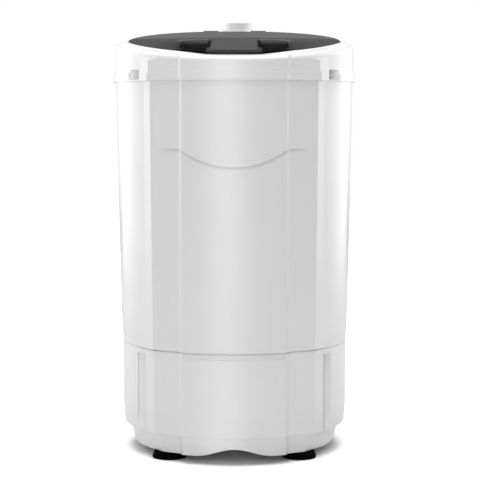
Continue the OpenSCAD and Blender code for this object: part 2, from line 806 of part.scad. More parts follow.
// The ring that leads from the sloping deck to the level drum
module throat_ring() {
    flange_r = mouth_r + 14;
    color("white")
    difference() {
        union() {
            intersection() {
                translate([0, 0, tub_top_z - 3]) cylinder(r = mouth_r + throat_wall, h = 120, $fn = 180);
                on_deck() translate([-250, -250, -250]) cube([500, 500, 250 - recess_d + 1.7]);
            }
            on_deck() translate([0, 0, -recess_d]) cylinder(r = flange_r, h = 1.7, $fn = 180);
        }
        translate([0, 0, tub_top_z - 10]) cylinder(r = mouth_r, h = 200, $fn = 180);
    }
}

// ---- Lid

function lid_profile(inset, low) = let (
        r = lid_r - inset,
        fillet = max(lid_edge_r - inset, 0.4),
        edge = lid_edge_h - inset,
        crown_at = function (x) edge + lid_crown * (1 - pow(x / r, 2)))
    concat([[0, low], [r, low]],
           arc(r - fillet, crown_at(r - fillet) - fillet, fillet, 0, 88, 6),
           [for (i = [9:-1:0]) let (x = (r - fillet) * i / 10) [x, crown_at(x)]]);

module lid_solid(inset, low) {
    rotate_extrude($fn = 180) polygon(lid_profile(inset, low));
}

module front_of(v) {
    translate([-250, -250, -100]) cube([500, 250 + v, 200]);
}

module well_outline(grow) {
    rounded_rect(grip_half_w - grow, -well_front - grow, grip_half_w + well_w + grow,
                 well_l - well_front + grow, 16 + grow);
}

module lid_panel() {
    skirt_low = -8;
    rib_low = -12;
    rib_r = lid_back - 2.5;
    well_floor = lid_edge_h - well_d;
    color([0.22, 0.22, 0.23])
    on_deck()
    difference() {
        union() {
            difference() {
                intersection() { lid_solid(0, skirt_low); front_of(lid_back); }
                difference() {
                    intersection() { lid_solid(lid_wall, skirt_low - over); front_of(lid_back - lid_wall); }
                    both_sides() translate([0, 0, well_floor - well_wall]) linear_extrude(height = 60)
                        well_outline(lid_wall);
                    both_sides() translate([-rod_x, striker_v, striker_w])
                        cylinder(r = striker_r, h = 60);
                }
            }
            intersection() {
                translate([0, 0, rib_low]) ring(rib_r, rib_r - lid_wall, -rib_low + lid_edge_h - 1);
                lid_solid(1, rib_low);
            }
            both_sides() intersection() {
                translate([0, 0, well_floor - well_wall]) linear_extrude(height = well_wall + 8)
                    well_outline(lid_wall);
                lid_solid(0.5, -40);
            }
            both_sides() intersection() {
                translate([-rod_x, striker_v, striker_w]) cylinder(r = striker_r, h = 12);
                lid_solid(1, -40);
            }
            both_sides() {
                translate([knuckle_x, lid_back - 5, hinge_w - 4]) cube([knuckle_l, hinge_v - lid_back + 5, 6.4]);
                translate([knuckle_x, hinge_v, hinge_w]) rotate([0, 90, 0])
                    cylinder(r = knuckle_r, h = knuckle_l);
            }
        }
        both_sides() translate([0, 0, well_floor]) linear_extrude(height = 60) well_outline(0);
        both_sides() translate([knuckle_x - over, hinge_v, hinge_w]) rotate([0, 90, 0])
            cylinder(r = hinge_pin_r + run_gap, h = knuckle_l + 2 * over);
        grip_blank(1.2, 20);
        translate([-grip_half_w + 1, 36, lid_edge_h + lid_crown - 1.5]) cube([2 * grip_half_w - 2, 2.4, 10]);
    }
}

// The lid's skin between the wells: from depth below the surface to proud above it
module grip_blank(depth, proud) {
    margin = 2;
    difference() {
        intersection() {
            translate([0, 0, -5]) linear_extrude(height = 60)
                rounded_rect(-grip_half_w + margin, -lid_r + 9, grip_half_w - margin, well_l - well_front + 4, 5);
            translate([0, 0, proud]) lid_solid(0, -40);
        }
        translate([0, 0, -depth]) lid_solid(0, -60);
    }
}

module lid_grip() {
    color([0.36, 0.36, 0.37])
    on_deck() grip_blank(1.2, 0.6);
}

module lid_gasket() {
    outer = lid_back - 2;
    color([0.12, 0.12, 0.12])
    on_deck() translate([0, 0, -recess_d + slip_gap])
        ring(outer, outer - lid_wall - 1, recess_d - 12 - slip_gap);
}

module hinge_pins() {
    color("silver")
    on_deck() both_sides()
        translate([knuckle_x - ear_gap - ear_t, hinge_v, hinge_w]) rotate([0, 90, 0])
            cylinder(r = hinge_pin_r, h = knuckle_l + 2 * (ear_gap + ear_t));
}

// ---- Control housing, timer and lid switch

// The housing's upright block with its sloping underside, drawn in by inset
module housing_prism(inset, top) {
    x = housing_half_w - inset;
    front = housing_front + inset;
    back = housing_back - inset;
    low = housing_low + inset;
    corner = 12 - inset;
    intersection() {
        translate([-x, 0, 0]) rotate([90, 0, 90]) linear_extrude(height = 2 * x)
            polygon([[front, low], [housing_front + 18, low], [back, low + housing_rise],
                     [back, top], [front, top]]);
        translate([0, 0, low - over]) linear_extrude(height = top - low + 2 * over)
            union() {
                translate([-x, front - over]) square([2 * x, back - front - corner + over]);
                translate([-x + corner, front - over]) square([2 * x - 2 * corner, back - front + over]);
                for (side = [-1, 1]) translate([side * (x - corner), back - corner]) circle(corner);
            }
    }
}

module housing_screw_places() {
    for (x = [-housing_screw_x, housing_screw_x])
        translate([x, housing_front, housing_screw_z]) rotate([-90, 0, 0]) children();
}

module control_housing() {
    tunnel_r = 4.2;
    color("white")
    difference() {
        intersection() {
            housing_prism(0, deck_z + 60);
            on_deck() translate([-250, 0, -200]) cube([500, 250, 200 + housing_top_w]);
        }
        difference() {
            intersection() {
                housing_prism(housing_wall, deck_z + 60);
                on_deck() translate([-250, 0, -200]) cube([500, 250, 200]);
            }
            // tunnels for the screws that hold the housing to the collar
            housing_screw_places() cylinder(r = tunnel_r + 1.8, h = 60);
        }
        housing_screw_places() {
            translate([0, 0, housing_wall]) cylinder(r = tunnel_r, h = 60);
            translate([0, 0, -over]) cylinder(r = 2.1, h = 10);
        }
        // window for the wires between the housing and the cabinet
        translate([-30, housing_front - over, housing_low + 8]) cube([60, housing_wall + 2 * over, 24]);
        on_deck() translate([knob_x, knob_v, -over]) cylinder(r = spindle_r + 0.5, h = 10);
    }
}

module housing_screws() {
    color("silver")
    housing_screw_places() {
        translate([0, 0, housing_wall]) cylinder(r = 3.6, h = 2.4);
        translate([0, 0, -11]) cylinder(r = 1.9, h = housing_wall + 12);
    }
}

module timer_body() {
    color("gainsboro")
    on_deck() translate([knob_x, knob_v, -timer_h])
        difference() {
            union() {
                cylinder(r = timer_r, h = timer_h);
                translate([-timer_r - 6, -5, timer_h - 3]) cube([2 * timer_r + 12, 10, 3]);
            }
            translate([0, 0, timer_h - 12]) cylinder(r = spindle_r + run_gap, h = 20);
        }
}

module timer_spindle() {
    color("silver")
    on_deck() translate([knob_x, knob_v, -11]) cylinder(r = spindle_r, h = 11 + knob_h - 3);
}

module timer_knob() {
    low = 3;
    top = low + knob_h;
    color([0.86, 0.86, 0.86])
    on_deck() translate([knob_x, knob_v, 0])
        difference() {
            rotate_extrude()
                polygon(concat([[0, low], [knob_r, low]],
                    arc(knob_r - 2.8, top - 2, 2, 0, 90, 6), [[0, top]]));
            translate([0, 0, low - over]) cylinder(r = spindle_r, h = knob_h - 6 + over);
            translate([0, 0, low - over]) ring(knob_r - 3, 7, knob_h - 4);
            translate([-0.6, -knob_r - 1, top - 0.6]) cube([1.2, knob_r * 0.6, 2]);
        }
}

module interlock_switch() {
    // microswitch under the floor of the lid's recess
    color([0.15, 0.15, 0.16])
    on_deck() translate([-rod_x, striker_v, -recess_d - deck_t])
        difference() {
            translate([-7, -4.6, -12]) cube([14, 9.2, 12]);
            translate([0, 0, -9]) cylinder(r = plunger_r + run_gap, h = 20);
        }
}

module interlock_plunger() {
    low = -recess_d - deck_t - 5;
    color("white")
    on_deck() translate([-rod_x, striker_v, low]) cylinder(r = plunger_r, h = striker_w - slip_gap - low);
}

// ---- Tub

module outer_tub() {
    color([0.9, 0.92, 0.94])
    difference() {
        translate([0, 0, tub_floor_z]) cylinder(r = tub_r, h = tub_top_z - tub_floor_z, $fn = 180);
        translate([0, 0, tub_floor_top_z]) cylinder(r = tub_r - tub_wall, h = tub_top_z, $fn = 180);
        translate([0, 0, tub_floor_z - over]) cylinder(r = seal_hole_r, h = 10);
        translate([0, tub_r - 10, spout_z]) rotate([-90, 0, 0]) cylinder(r = spout_bore_r, h = 20);
    }
}

module tub_cover() {
    color("white")
    translate([0, 0, tub_top_z])
        difference() {
            union() {
                cylinder(r = tub_r + 0.5, h = 2.5, $fn = 180);
                translate([0, 0, -5]) cylinder(r = tub_r - tub_wall - slip_gap, h = 6, $fn = 180);
            }
            translate([0, 0, -6]) cylinder(r = tub_r - tub_wall - slip_gap - 2, h = 6, $fn = 180);
            translate([0, 0, -over]) cylinder(r = mouth_r + throat_wall + slip_gap, h = 10, $fn = 180);
        }
}

module tub_seal() {
    color([0.1, 0.1, 0.1])
    rotate_extrude()
        polygon([[shaft_r + run_gap, tub_floor_z - 4], [shaft_r + 7, tub_floor_z - 4],
                 [seal_hole_r - 2, tub_floor_z - 3], [seal_hole_r + 5, tub_floor_z - 3],
                 [seal_hole_r + 5, tub_floor_z], [seal_hole_r - 0.1, tub_floor_z],
                 [seal_hole_r - 0.1, tub_floor_top_z], [seal_hole_r + 5, tub_floor_top_z],
                 [seal_hole_r + 5, tub_floor_top_z + 3], [shaft_r + 7, tub_floor_top_z + 6],
                 [shaft_r + run_gap, tub_floor_top_z + 7]]);
}

module drain_spout() {
    color([0.9, 0.92, 0.94])
    difference() {
        union() {
            translate([0, tub_r - 3, spout_z]) rotate([-90, 0, 0])
                cylinder(r = spout_r, h = spout_reach - tub_r + 3);
            // root of the spout: the hose is pushed up to its shoulder
            translate([0, tub_r - 3, spout_z]) rotate([-90, 0, 0])
                cylinder(r = spout_root_r, h = spout_shoulder_y - tub_r + 3);
            translate([0, tub_r - 3, spout_z]) rotate([-90, 0, 0]) cylinder(r = spout_r + 8, h = 7);
        }
        translate([0, 0, spout_z - 40]) cylinder(r = tub_r, h = 80, $fn = 180);
        translate([0, tub_r - 10, spout_z]) rotate([-90, 0, 0]) cylinder(r = spout_bore_r, h = 100);
    }
}

module drain_gasket() {
    // rubber grommet between the spout and the jacket
    color([0.1, 0.1, 0.1])
    translate([0, jacket_r(spout_z) - shell_wall, spout_z]) rotate([-90, 0, 0])
        difference() {
            union() {
                cylinder(r = spout_root_r + 2.4, h = shell_wall + 0.5);
                translate([0, 0, shell_wall + 0.4]) cylinder(r = spout_root_r + 4.5, h = 2);
            }
            translate([0, 0, -over]) cylinder(r = spout_root_r, h = 20);
        }
}

// ---- Drum and drive

module spin_drum() {
    low = drum_floor_z;
    high = drum_top_z - drum_rim_h;
    pitch = (high - low - 70) / (drum_rows - 1);
    color("silver")
    difference() {
        translate([0, 0, low]) cylinder(r = drum_r, h = high - low, $fn = 180);
        translate([0, 0, low + drum_sheet]) cylinder(r = drum_r - drum_sheet, h = high, $fn = 180);
        translate([0, 0, low - over]) cylinder(r = shaft_r, h = 10);
        for (row = [0:drum_rows - 1], i = [0:drum_cols - 1])
            rotate([0, 0, (i + (row % 2) / 2) * 360 / drum_cols])
                translate([drum_r - 5, 0, low + 35 + row * pitch]) rotate([0, 90, 0])
                    cylinder(r = drum_hole_r, h = 10, $fn = 24);
        for (i = [0:5]) rotate([0, 0, 60 * i + 15])
            translate([drum_r * 0.62, 0, low - over]) cylinder(r = drum_hole_r, h = 10, $fn = 24);
    }
}

module drum_rim() {
    inner = mouth_r + 2;
    color([0.85, 0.85, 0.86])
    translate([0, 0, drum_top_z - drum_rim_h])
        rotate_extrude($fn = 180)
            polygon(concat([[inner + 6, 0], [drum_r + 1.5, 0]],
                arc(drum_r - 1.5, drum_rim_h - 3, 3, 0, 90, 5),
                arc(inner + 3, drum_rim_h - 3, 3, 90, 180, 5), [[inner, 3]]));
}

module drum_flange() {
    color("dimgray")
    translate([0, 0, drum_floor_z - 5])
        difference() {
            union() {
                cylinder(r = flange_r, h = 5);
                translate([0, 0, -0.5]) cylinder(r = shaft_r + 5, h = 2);
            }
            translate([0, 0, -over]) cylinder(r = shaft_r, h = 10);
        }
}

module drum_hub() {
    low = drum_floor_z + drum_sheet;
    color("white")
    difference() {
        translate([0, 0, low])
            rotate_extrude()
                polygon(concat([[0, 0], [48, 0], [48, 3]], arc(45, 20, 17.3, -80, -165, 8),
                    arc(22, 30, 6, 20, 90, 4), [[0, 36]]));
        translate([0, 0, low - over]) cylinder(r = 17, h = 32);
    }
}

module drum_nut() {
    color("silver")
    translate([0, 0, drum_floor_z + drum_sheet])
        difference() {
            union() {
                cylinder(r = 14, h = 2);
                cylinder(r = 11, h = 11, $fn = 6);
            }
            translate([0, 0, -over]) cylinder(r = shaft_r, h = 20);
        }
}

module drive_shaft() {
    low = motor_low_z - 12;
    color("silver")
    translate([0, 0, low]) cylinder(r = shaft_r, h = drum_floor_z + drum_sheet + 15 - low);
}

// ---- Motor

function mount_angles() = [for (i = [0:2]) lever_az + 60 + 120 * i];

module bell_places() {
    for (a = [0:90:270]) rotate([0, 0, a + 20]) translate([motor_r - 6, 0, 0]) children();
}

module motor_plate() {
    ear_off = lever_w / 2 + slip_gap;
    color("lightsteelblue")
    difference() {
        union() {
            translate([0, 0, plate_z]) cylinder(r = plate_r, h = plate_t);
            rotate([0, 0, lever_az]) for (side = [-1, 1])
                translate([pivot_pos_r - 6, side > 0 ? ear_off : -ear_off - 3, plate_top_z - over])
                    cube([12, 3, pivot_h + 5 + over]);
        }
        translate([0, 0, plate_z - over]) cylinder(r = bearing_r + 6, h = 10);
        for (a = mount_angles()) rotate([0, 0, a])
            translate([mount_pos_r, 0, plate_z - over]) cylinder(r = 3.2, h = 10);
        bell_places() translate([0, 0, plate_z - over]) cylinder(r = 2.2, h = 10);
        rotate([0, 0, lever_az]) translate([pivot_pos_r, 0, pivot_z]) rotate([90, 0, 0])
            cylinder(r = pivot_pin_r, h = 40, center = true);
    }
}

module end_bell() {
    // one end of the motor, mouth down, top face at z = 0; the lower bell is its mirror image
    depth = (motor_h - core_h) / 2;
    difference() {
        translate([0, 0, -depth]) cylinder(r = motor_r, h = depth);
        difference() {
            translate([0, 0, -depth - over]) cylinder(r = motor_r - bell_wall, h = depth + over - bell_wall);
            translate([0, 0, -bearing_h - 4]) cylinder(r = bearing_r + 3, h = 40);
            bell_places() translate([0, 0, -depth]) cylinder(r = 5, h = depth);
        }
        translate([0, 0, -bearing_h - 5]) cylinder(r = bearing_r, h = bearing_h + 3);
        translate([0, 0, -depth - over]) cylinder(r = shaft_r + 2, h = depth + 10);
        bell_places() translate([0, 0, -depth - over]) cylinder(r = 2.2, h = depth + 10);
        for (a = [0:45:315]) rotate([0, 0, a])
            translate([motor_r - 20, -2.5, -bell_wall - over]) cube([9, 5, 20]);
    }
}

module motor_upper_bell() {
    color("silver") translate([0, 0, motor_top_z]) end_bell();
}

module motor_lower_bell() {
    color("silver") translate([0, 0, motor_low_z]) mirror([0, 0, 1]) end_bell();
}

module motor_core() {
    color("gray")
    difference() {
        translate([0, 0, core_z]) cylinder(r = motor_r, h = core_h);
        translate([0, 0, core_z - over]) cylinder(r = rotor_r + 0.6, h = core_h + 2 * over);
        bell_places() translate([0, 0, core_z - over]) cylinder(r = 2.2, h = core_h + 2 * over);
    }
}

module motor_windings() {
    color("peru")
    for (z = [core_z - 9, core_z + core_h]) translate([0, 0, z]) ring(motor_r - 13, rotor_r + 3, 9);
}

module motor_bolts() {
    color("silver")
    bell_places() {
        translate([0, 0, motor_low_z - 3]) cylinder(r = 4, h = 3);
        translate([0, 0, motor_low_z - 0.5]) cylinder(r = 2, h = motor_h + plate_t + 3);
        translate([0, 0, plate_top_z]) cylinder(r = 4, h = 3, $fn = 6);
    }
}

module motor_rotor() {
    color("gray")
    translate([0, 0, core_z - 2]) ring(rotor_r, shaft_r, core_h + 4);
}

module cooling_fan() {
    low = motor_low_z - 10;
    color("dimgray")
    difference() {
        translate([0, 0, low]) union() {
            cylinder(r = shaft_r + 4, h = 7);
            cylinder(r = fan_r, h = 1.6);
            for (i = [0:7]) rotate([0, 0, i * 45]) translate([shaft_r + 3, -0.8, 0])
                cube([fan_r - shaft_r - 4, 1.6, 6]);
        }
        translate([0, 0, low - over]) cylinder(r = shaft_r, h = 20);
    }
}

module bearing() {
    // outer ring, balls' band and inner ring as one closed body
    difference() {
        cylinder(r = bearing_r, h = bearing_h);
        translate([0, 0, -over]) cylinder(r = shaft_r + run_gap, h = bearing_h + 2 * over);
        for (z = [-over, bearing_h - 0.8]) translate([0, 0, z]) ring(bearing_r - 3, shaft_r + 3.5, 0.8 + over);
    }
}

module upper_bearing() {
    color("silver") translate([0, 0, motor_top_z - bearing_h - 2]) bearing();
}

module lower_bearing() {
    color("silver") translate([0, 0, motor_low_z + 2]) bearing();
}

module mount_places() {
    for (a = mount_angles()) rotate([0, 0, a]) translate([mount_pos_r, 0, floor_top_z]) children();
}

module rubber_mounts() {
    color([0.08, 0.08, 0.08]) mount_places() ring(mount_r, 3.1, mount_h);
}

module mount_springs() {
    // coil springs round the rubber mounts, as plain sleeves: nothing shows of them
    color("silver") mount_places() translate([0, 0, slip_gap]) ring(mount_r + 3.6, mount_r + 0.3, mount_h - 0.6);
}

module mount_bolts() {
    color("silver") mount_places() {
        translate([0, 0, -base_wall - 3]) cylinder(r = 5, h = 3);
        translate([0, 0, -base_wall - 1]) cylinder(r = 3, h = base_wall + mount_h + plate_t + 2);
        translate([0, 0, mount_h + plate_t]) cylinder(r = 5, h = 4, $fn = 6);
    }
}

// ---- Brake: lifting the lid lets the rod rise, and the lever presses the pad on the drum

module brake_drum() {
    color("gray")
    translate([0, 0, brake_z])
        difference() {
            union() {
                cylinder(r = brake_r, h = brake_h);
                translate([0, 0, -4]) cylinder(r = 14, h = brake_h + 4);
            }
            translate([0, 0, 3]) ring(brake_r - 4, 14, brake_h);
            translate([0, 0, -5]) cylinder(r = shaft_r, h = 40);
        }
}

module on_lever() {
    rotate([0, 0, lever_az]) children();
}

module brake_lever() {
    stem_z = brake_z + brake_h / 2;
    color("steelblue")
    on_lever()
    difference() {
        union() {
            translate([pivot_pos_r - 8, -lever_w / 2, pivot_z - 4])
                cube([rod_pos_r + 5 - pivot_pos_r + 8, lever_w, 8]);
            translate([pivot_pos_r - 8, -lever_w / 2, pivot_z - 4]) cube([12, lever_w, stem_z + 5 - pivot_z + 4]);
            translate([pad_inner_r + pad_t, -lever_w / 2, stem_z - 5])
                cube([pivot_pos_r - pad_inner_r - pad_t, lever_w, 10]);
        }
        translate([pivot_pos_r, 0, pivot_z]) rotate([90, 0, 0])
            cylinder(r = pivot_pin_r + run_gap, h = 40, center = true);
    }
}

module brake_pad() {
    color([0.15, 0.13, 0.12])
    on_lever() translate([pad_inner_r, -lever_w / 2, brake_z + brake_h / 2 - 5]) cube([pad_t, lever_w, 10]);
}

module brake_pivot_pin() {
    half = lever_w / 2 + slip_gap + 3;
    color("silver")
    on_lever() translate([pivot_pos_r, 0, pivot_z]) rotate([90, 0, 0]) {
        cylinder(r = pivot_pin_r, h = 2 * half + 12, center = true);
        translate([0, 0, -half - 8]) cylinder(r = pivot_pin_r + 1.5, h = 2);
    }
}

module brake_return_spring() {
    // torsion spring beside the lever's ear, as a plain sleeve
    half = lever_w / 2 + slip_gap + 3;
    color("silver")
    on_lever() translate([pivot_pos_r, 0, pivot_z]) rotate([90, 0, 0]) translate([0, 0, -half - 5.8])
        ring(pivot_pin_r + 1.6, pivot_pin_r + 0.1, 5.4);
}

module brake_rod() {
    low = pivot_z + 4 + slip_gap;
    high = deck_height(rod_y - rod_r, striker_w) - slip_gap;
    color("silver")
    translate([rod_x, rod_y, low]) cylinder(r = rod_r, h = high - low);
}

// ---- Electrical pieces on the base's floor

module cap_place() {
    rotate([0, 0, lever_az + 120]) translate([motor_r + cap_room + cap_r + 9, 0, floor_top_z]) children();
}

module capacitor() {
    color("gainsboro") cap_place() {
        cylinder(r = cap_r, h = cap_h);
        for (y = [-5, 5]) translate([-1.5, y - 0.5, cap_h - over]) cube([3, 1, 8]);
    }
}

module capacitor_clip() {
    color("silver") cap_place() {
        translate([0, 0, 20]) ring(cap_r + 1.6, cap_r + 0.1, 12);
        translate([-cap_r - 9, -6, 0]) cube([1.6, 12, 32]);
        translate([-cap_r - 9, -6, 20]) cube([9, 12, 1.6]);
        translate([-cap_r - 19, -6, 0]) cube([11, 12, 1.6]);
    }
}

module terminal_block() {
    color("white") rotate([0, 0, lever_az - 120]) translate([mount_pos_r - 10, -20, floor_top_z])
        difference() {
            cube([20, 40, 18]);
            for (y = [6:9:33]) translate([10, y, 6]) cylinder(r = 2.5, h = 20);
        }
}

// The origin is on the floor, in the middle of the box round the whole part
translate([0, -frame_y, 0]) {
    base_shell();
    body_shell();
    top_collar();
    collar_screws();
    seam_screws();
    control_housing();
    housing_screws();
    hinge_pins();
    rubber_feet();
    foot_screws();
    cord_gland();
    cord_bush();
    lid_panel();
    lid_grip();
    lid_gasket();
    timer_body();
    timer_knob();
    timer_spindle();
    interlock_switch();
    interlock_plunger();
    outer_tub();
    tub_cover();
    throat_ring();
    tub_seal();
    drain_spout();
    drain_gasket();
    spin_drum();
    drum_rim();
    drum_flange();
    drum_hub();
    drum_nut();
    drive_shaft();
    motor_plate();
    motor_upper_bell();
    motor_lower_bell();
    motor_core();
    motor_windings();
    motor_bolts();
    motor_rotor();
    cooling_fan();
    upper_bearing();
    lower_bearing();
    rubber_mounts();
    mount_springs();
    mount_bolts();
    brake_drum();
    brake_lever();
    brake_pad();
    brake_pivot_pin();
    brake_return_spring();
    brake_rod();
    capacitor();
    capacitor_clip();
    terminal_block();
}
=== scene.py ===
"""Laundry spin dryer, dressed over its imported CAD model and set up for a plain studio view.

Every length is in metres, in the row's frame: +Z is up, the front faces -Y and the floor is z = 0.
The deck is the sloping plane of the lid. On it u runs to the right, v to the back and w away from it.
"""

from __future__ import annotations

import json
import logging
import math
from abc import ABC, abstractmethod
from dataclasses import dataclass
from enum import Enum
from typing import Sequence

import bmesh
import bpy
from mathutils import Matrix, Vector

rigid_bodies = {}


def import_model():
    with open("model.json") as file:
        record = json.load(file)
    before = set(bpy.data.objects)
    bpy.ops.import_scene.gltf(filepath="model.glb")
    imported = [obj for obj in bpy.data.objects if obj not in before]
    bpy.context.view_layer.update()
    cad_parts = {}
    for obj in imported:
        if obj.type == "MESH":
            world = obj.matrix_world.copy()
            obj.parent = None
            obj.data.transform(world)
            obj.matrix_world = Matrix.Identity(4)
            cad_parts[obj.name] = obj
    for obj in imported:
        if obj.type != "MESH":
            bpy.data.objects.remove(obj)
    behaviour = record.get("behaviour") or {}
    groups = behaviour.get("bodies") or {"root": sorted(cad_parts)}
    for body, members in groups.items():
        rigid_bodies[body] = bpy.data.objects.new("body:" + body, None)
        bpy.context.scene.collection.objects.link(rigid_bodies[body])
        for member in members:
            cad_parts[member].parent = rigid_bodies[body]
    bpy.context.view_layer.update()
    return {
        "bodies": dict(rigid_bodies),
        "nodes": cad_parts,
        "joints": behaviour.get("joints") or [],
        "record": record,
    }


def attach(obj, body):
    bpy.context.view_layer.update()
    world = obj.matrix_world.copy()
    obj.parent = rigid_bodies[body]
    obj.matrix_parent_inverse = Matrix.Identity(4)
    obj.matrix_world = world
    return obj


LOG = logging.getLogger("spin_dryer")
MM = 0.001

Colour = tuple[float, float, float]
Range = tuple[float, float]
Point = tuple[float, float]
Frame = dict
Node = bpy.types.Node
Socket = bpy.types.NodeSocket


class Body(Enum):
    """The CAD bodies that the new pieces ride on."""

    CABINET = "cabinet"


class Maths(Enum):
    """The operations that a maths node can do for a material."""

    ADD = "ADD"
    SUBTRACT = "SUBTRACT"
    MULTIPLY = "MULTIPLY"
    MULTIPLY_ADD = "MULTIPLY_ADD"
    DIVIDE = "DIVIDE"
    ABSOLUTE = "ABSOLUTE"
    MAXIMUM = "MAXIMUM"
    GREATER_THAN = "GREATER_THAN"
    SQUARE_ROOT = "SQRT"


# ---------------------------------------------------------------------------------------------
# Node building


class Sketch:
    """A small builder for one node tree."""

    def __init__(self, tree: bpy.types.NodeTree) -> None:
        """Start on the node tree that gets the nodes."""
        self.tree = tree

    def add(self, kind: str, **settings: object) -> Node:
        """Add one node.

        Args:
            kind: The node's type name.
            **settings: Properties to set on it.

        Returns:
            The new node.
        """
        node = self.tree.nodes.new(kind)
        for name, value in settings.items():
            setattr(node, name, value)
        return node

    def feed(self, socket: Socket, source: object) -> None:
        """Link a socket to another one, or set its plain value.

        Args:
            socket: The input socket.
            source: An output socket, a number or a colour.
        """
        if isinstance(source, bpy.types.NodeSocket):
            self.tree.links.new(source, socket)
        elif socket.type == "RGBA":
            socket.default_value = (*source, 1.0)
        else:
            socket.default_value = source

    def maths(self, operation: Maths, *sources: object, clamp: bool = False) -> Socket:
        """Add a maths node.

        Args:
            operation: What it works out.
            *sources: Numbers or output sockets for its inputs.
            clamp: Whether the result is held between 0 and 1.

        Returns:
            Its output socket.
        """
        node = self.add("ShaderNodeMath", operation=operation.value, use_clamp=clamp)
        for socket, source in zip(node.inputs, sources):
            self.feed(socket, source)
        return node.outputs[0]

    def product(self, first: object, *others: object) -> Socket:
        """Multiply masks or numbers.

        Args:
            first: The first of them.
            *others: The rest.

        Returns:
            The output socket.
        """
        result = first
        for other in others:
            result = self.maths(Maths.MULTIPLY, result, other)
        return result

    def ramp(self, source: object, low: float, high: float) -> Socket:
        """Map a value smoothly from a range onto 0 to 1.

        Args:
            source: The value.
            low: Where the result is 0.
            high: Where the result is 1.

        Returns:
            The output socket.
        """
        node = self.add("ShaderNodeMapRange", interpolation_type="SMOOTHSTEP")
        self.feed(node.inputs["Value"], source)
        self.feed(node.inputs["From Min"], low)
        self.feed(node.inputs["From Max"], high)
        return node.outputs["Result"]

    def tint(self, mask: object, under: object, over: object) -> Socket:
        """Mix two colours.

        Args:
            mask: 0 shows the first colour and 1 the second.
            under: The first colour.
            over: The second colour.

        Returns:
            The output socket.
        """
        node = self.add("ShaderNodeMix", data_type="RGBA")
        self.feed(node.inputs[0], mask)
        self.feed(node.inputs[6], under)
        self.feed(node.inputs[7], over)
        return node.outputs[2]

    def choose(self, mask: object, first: object, second: object) -> Socket:
        """Mix two values.

        Args:
            mask: 0 gives the first value and 1 the second.
            first: The first value.
            second: The second value.

        Returns:
            The output socket.
        """
        node = self.add("ShaderNodeMix", data_type="FLOAT")
        self.feed(node.inputs[0], mask)
        self.feed(node.inputs[2], first)
        self.feed(node.inputs[3], second)
        return node.outputs[0]

    def here(self) -> Socket:
        """Return the place on the object, in the row's frame."""
        return self.add("ShaderNodeTexCoord").outputs["Object"]

    def split(self, vector: Socket) -> tuple[Socket, Socket, Socket]:
        """Take a vector apart.

        Args:
            vector: The vector.

        Returns:
            Its parts along X, Y and Z.
        """
        parts = self.add("ShaderNodeSeparateXYZ")
        self.feed(parts.inputs[0], vector)
        return parts.outputs["X"], parts.outputs["Y"], parts.outputs["Z"]

    def noise(self, place: object, scale: object, detail: float) -> Socket:
        """Add a noise texture.

        Args:
            place: The coordinates.
            scale: Its scale.
            detail: Its detail.

        Returns:
            The value from 0 to 1.
        """
        node = self.add("ShaderNodeTexNoise")
        self.feed(node.inputs["Vector"], place)
        self.feed(node.inputs["Scale"], scale)
        self.feed(node.inputs["Detail"], detail)
        return node.outputs[0]

    def relief(self, height: Socket, radius: float, depth: float, strength: float, samples: int) -> Socket:
        """Round the sharp edges and raise a fine texture on the faces.

        Args:
            height: The texture.
            radius: How wide the edges are rounded.
            depth: How far the texture stands out.
            strength: How much of it shows.
            samples: How finely the rounding is worked out.

        Returns:
            The normal.
        """
        round_off = self.add("ShaderNodeBevel", samples=samples)
        self.feed(round_off.inputs["Radius"], radius)
        bump = self.add("ShaderNodeBump")
        self.feed(bump.inputs["Strength"], strength)
        self.feed(bump.inputs["Distance"], depth)
        self.feed(bump.inputs["Height"], height)
        self.feed(bump.inputs["Normal"], round_off.outputs[0])
        return bump.outputs[0]


class Effect(ABC):
    """A surface effect that several finishes share, kept as one node group."""

    name: str
    inputs: dict[str, float]
    outputs: tuple[str, ...]

    @classmethod
    def group(cls) -> bpy.types.NodeTree:
        """Build the group once.

        Returns:
            The node group.
        """
        tree = bpy.data.node_groups.get(cls.name)
        if tree is None:
            tree = bpy.data.node_groups.new(cls.name, "ShaderNodeTree")
            for name, value in cls.inputs.items():
                socket = tree.interface.new_socket(name, in_out="INPUT", socket_type="NodeSocketFloat")
                socket.default_value = value
            for name in cls.outputs:
                tree.interface.new_socket(name, in_out="OUTPUT", socket_type="NodeSocketFloat")
            sketch = Sketch(tree)
            cls.draw(sketch, sketch.add("NodeGroupInput"), sketch.add("NodeGroupOutput"))
        return tree

    @classmethod
    @abstractmethod
    def draw(cls, sketch: Sketch, given: Node, result: Node) -> None:
        """Draw the group's nodes.

        Args:
            sketch: The builder on the group's tree.
            given: The group's input node.
            result: The group's output node.
        """

    @classmethod
    def place(cls, sketch: Sketch, **values: object) -> Node:
        """Put the group into a material.

        Args:
            sketch: The builder on the material's tree.
            **values: The group's inputs, with _ for a space.

        Returns:
            The group's node.
        """
        node = sketch.add("ShaderNodeGroup", node_tree=cls.group())
        for name, value in values.items():
            sketch.feed(node.inputs[name.replace("_", " ").capitalize()], value)
        return node


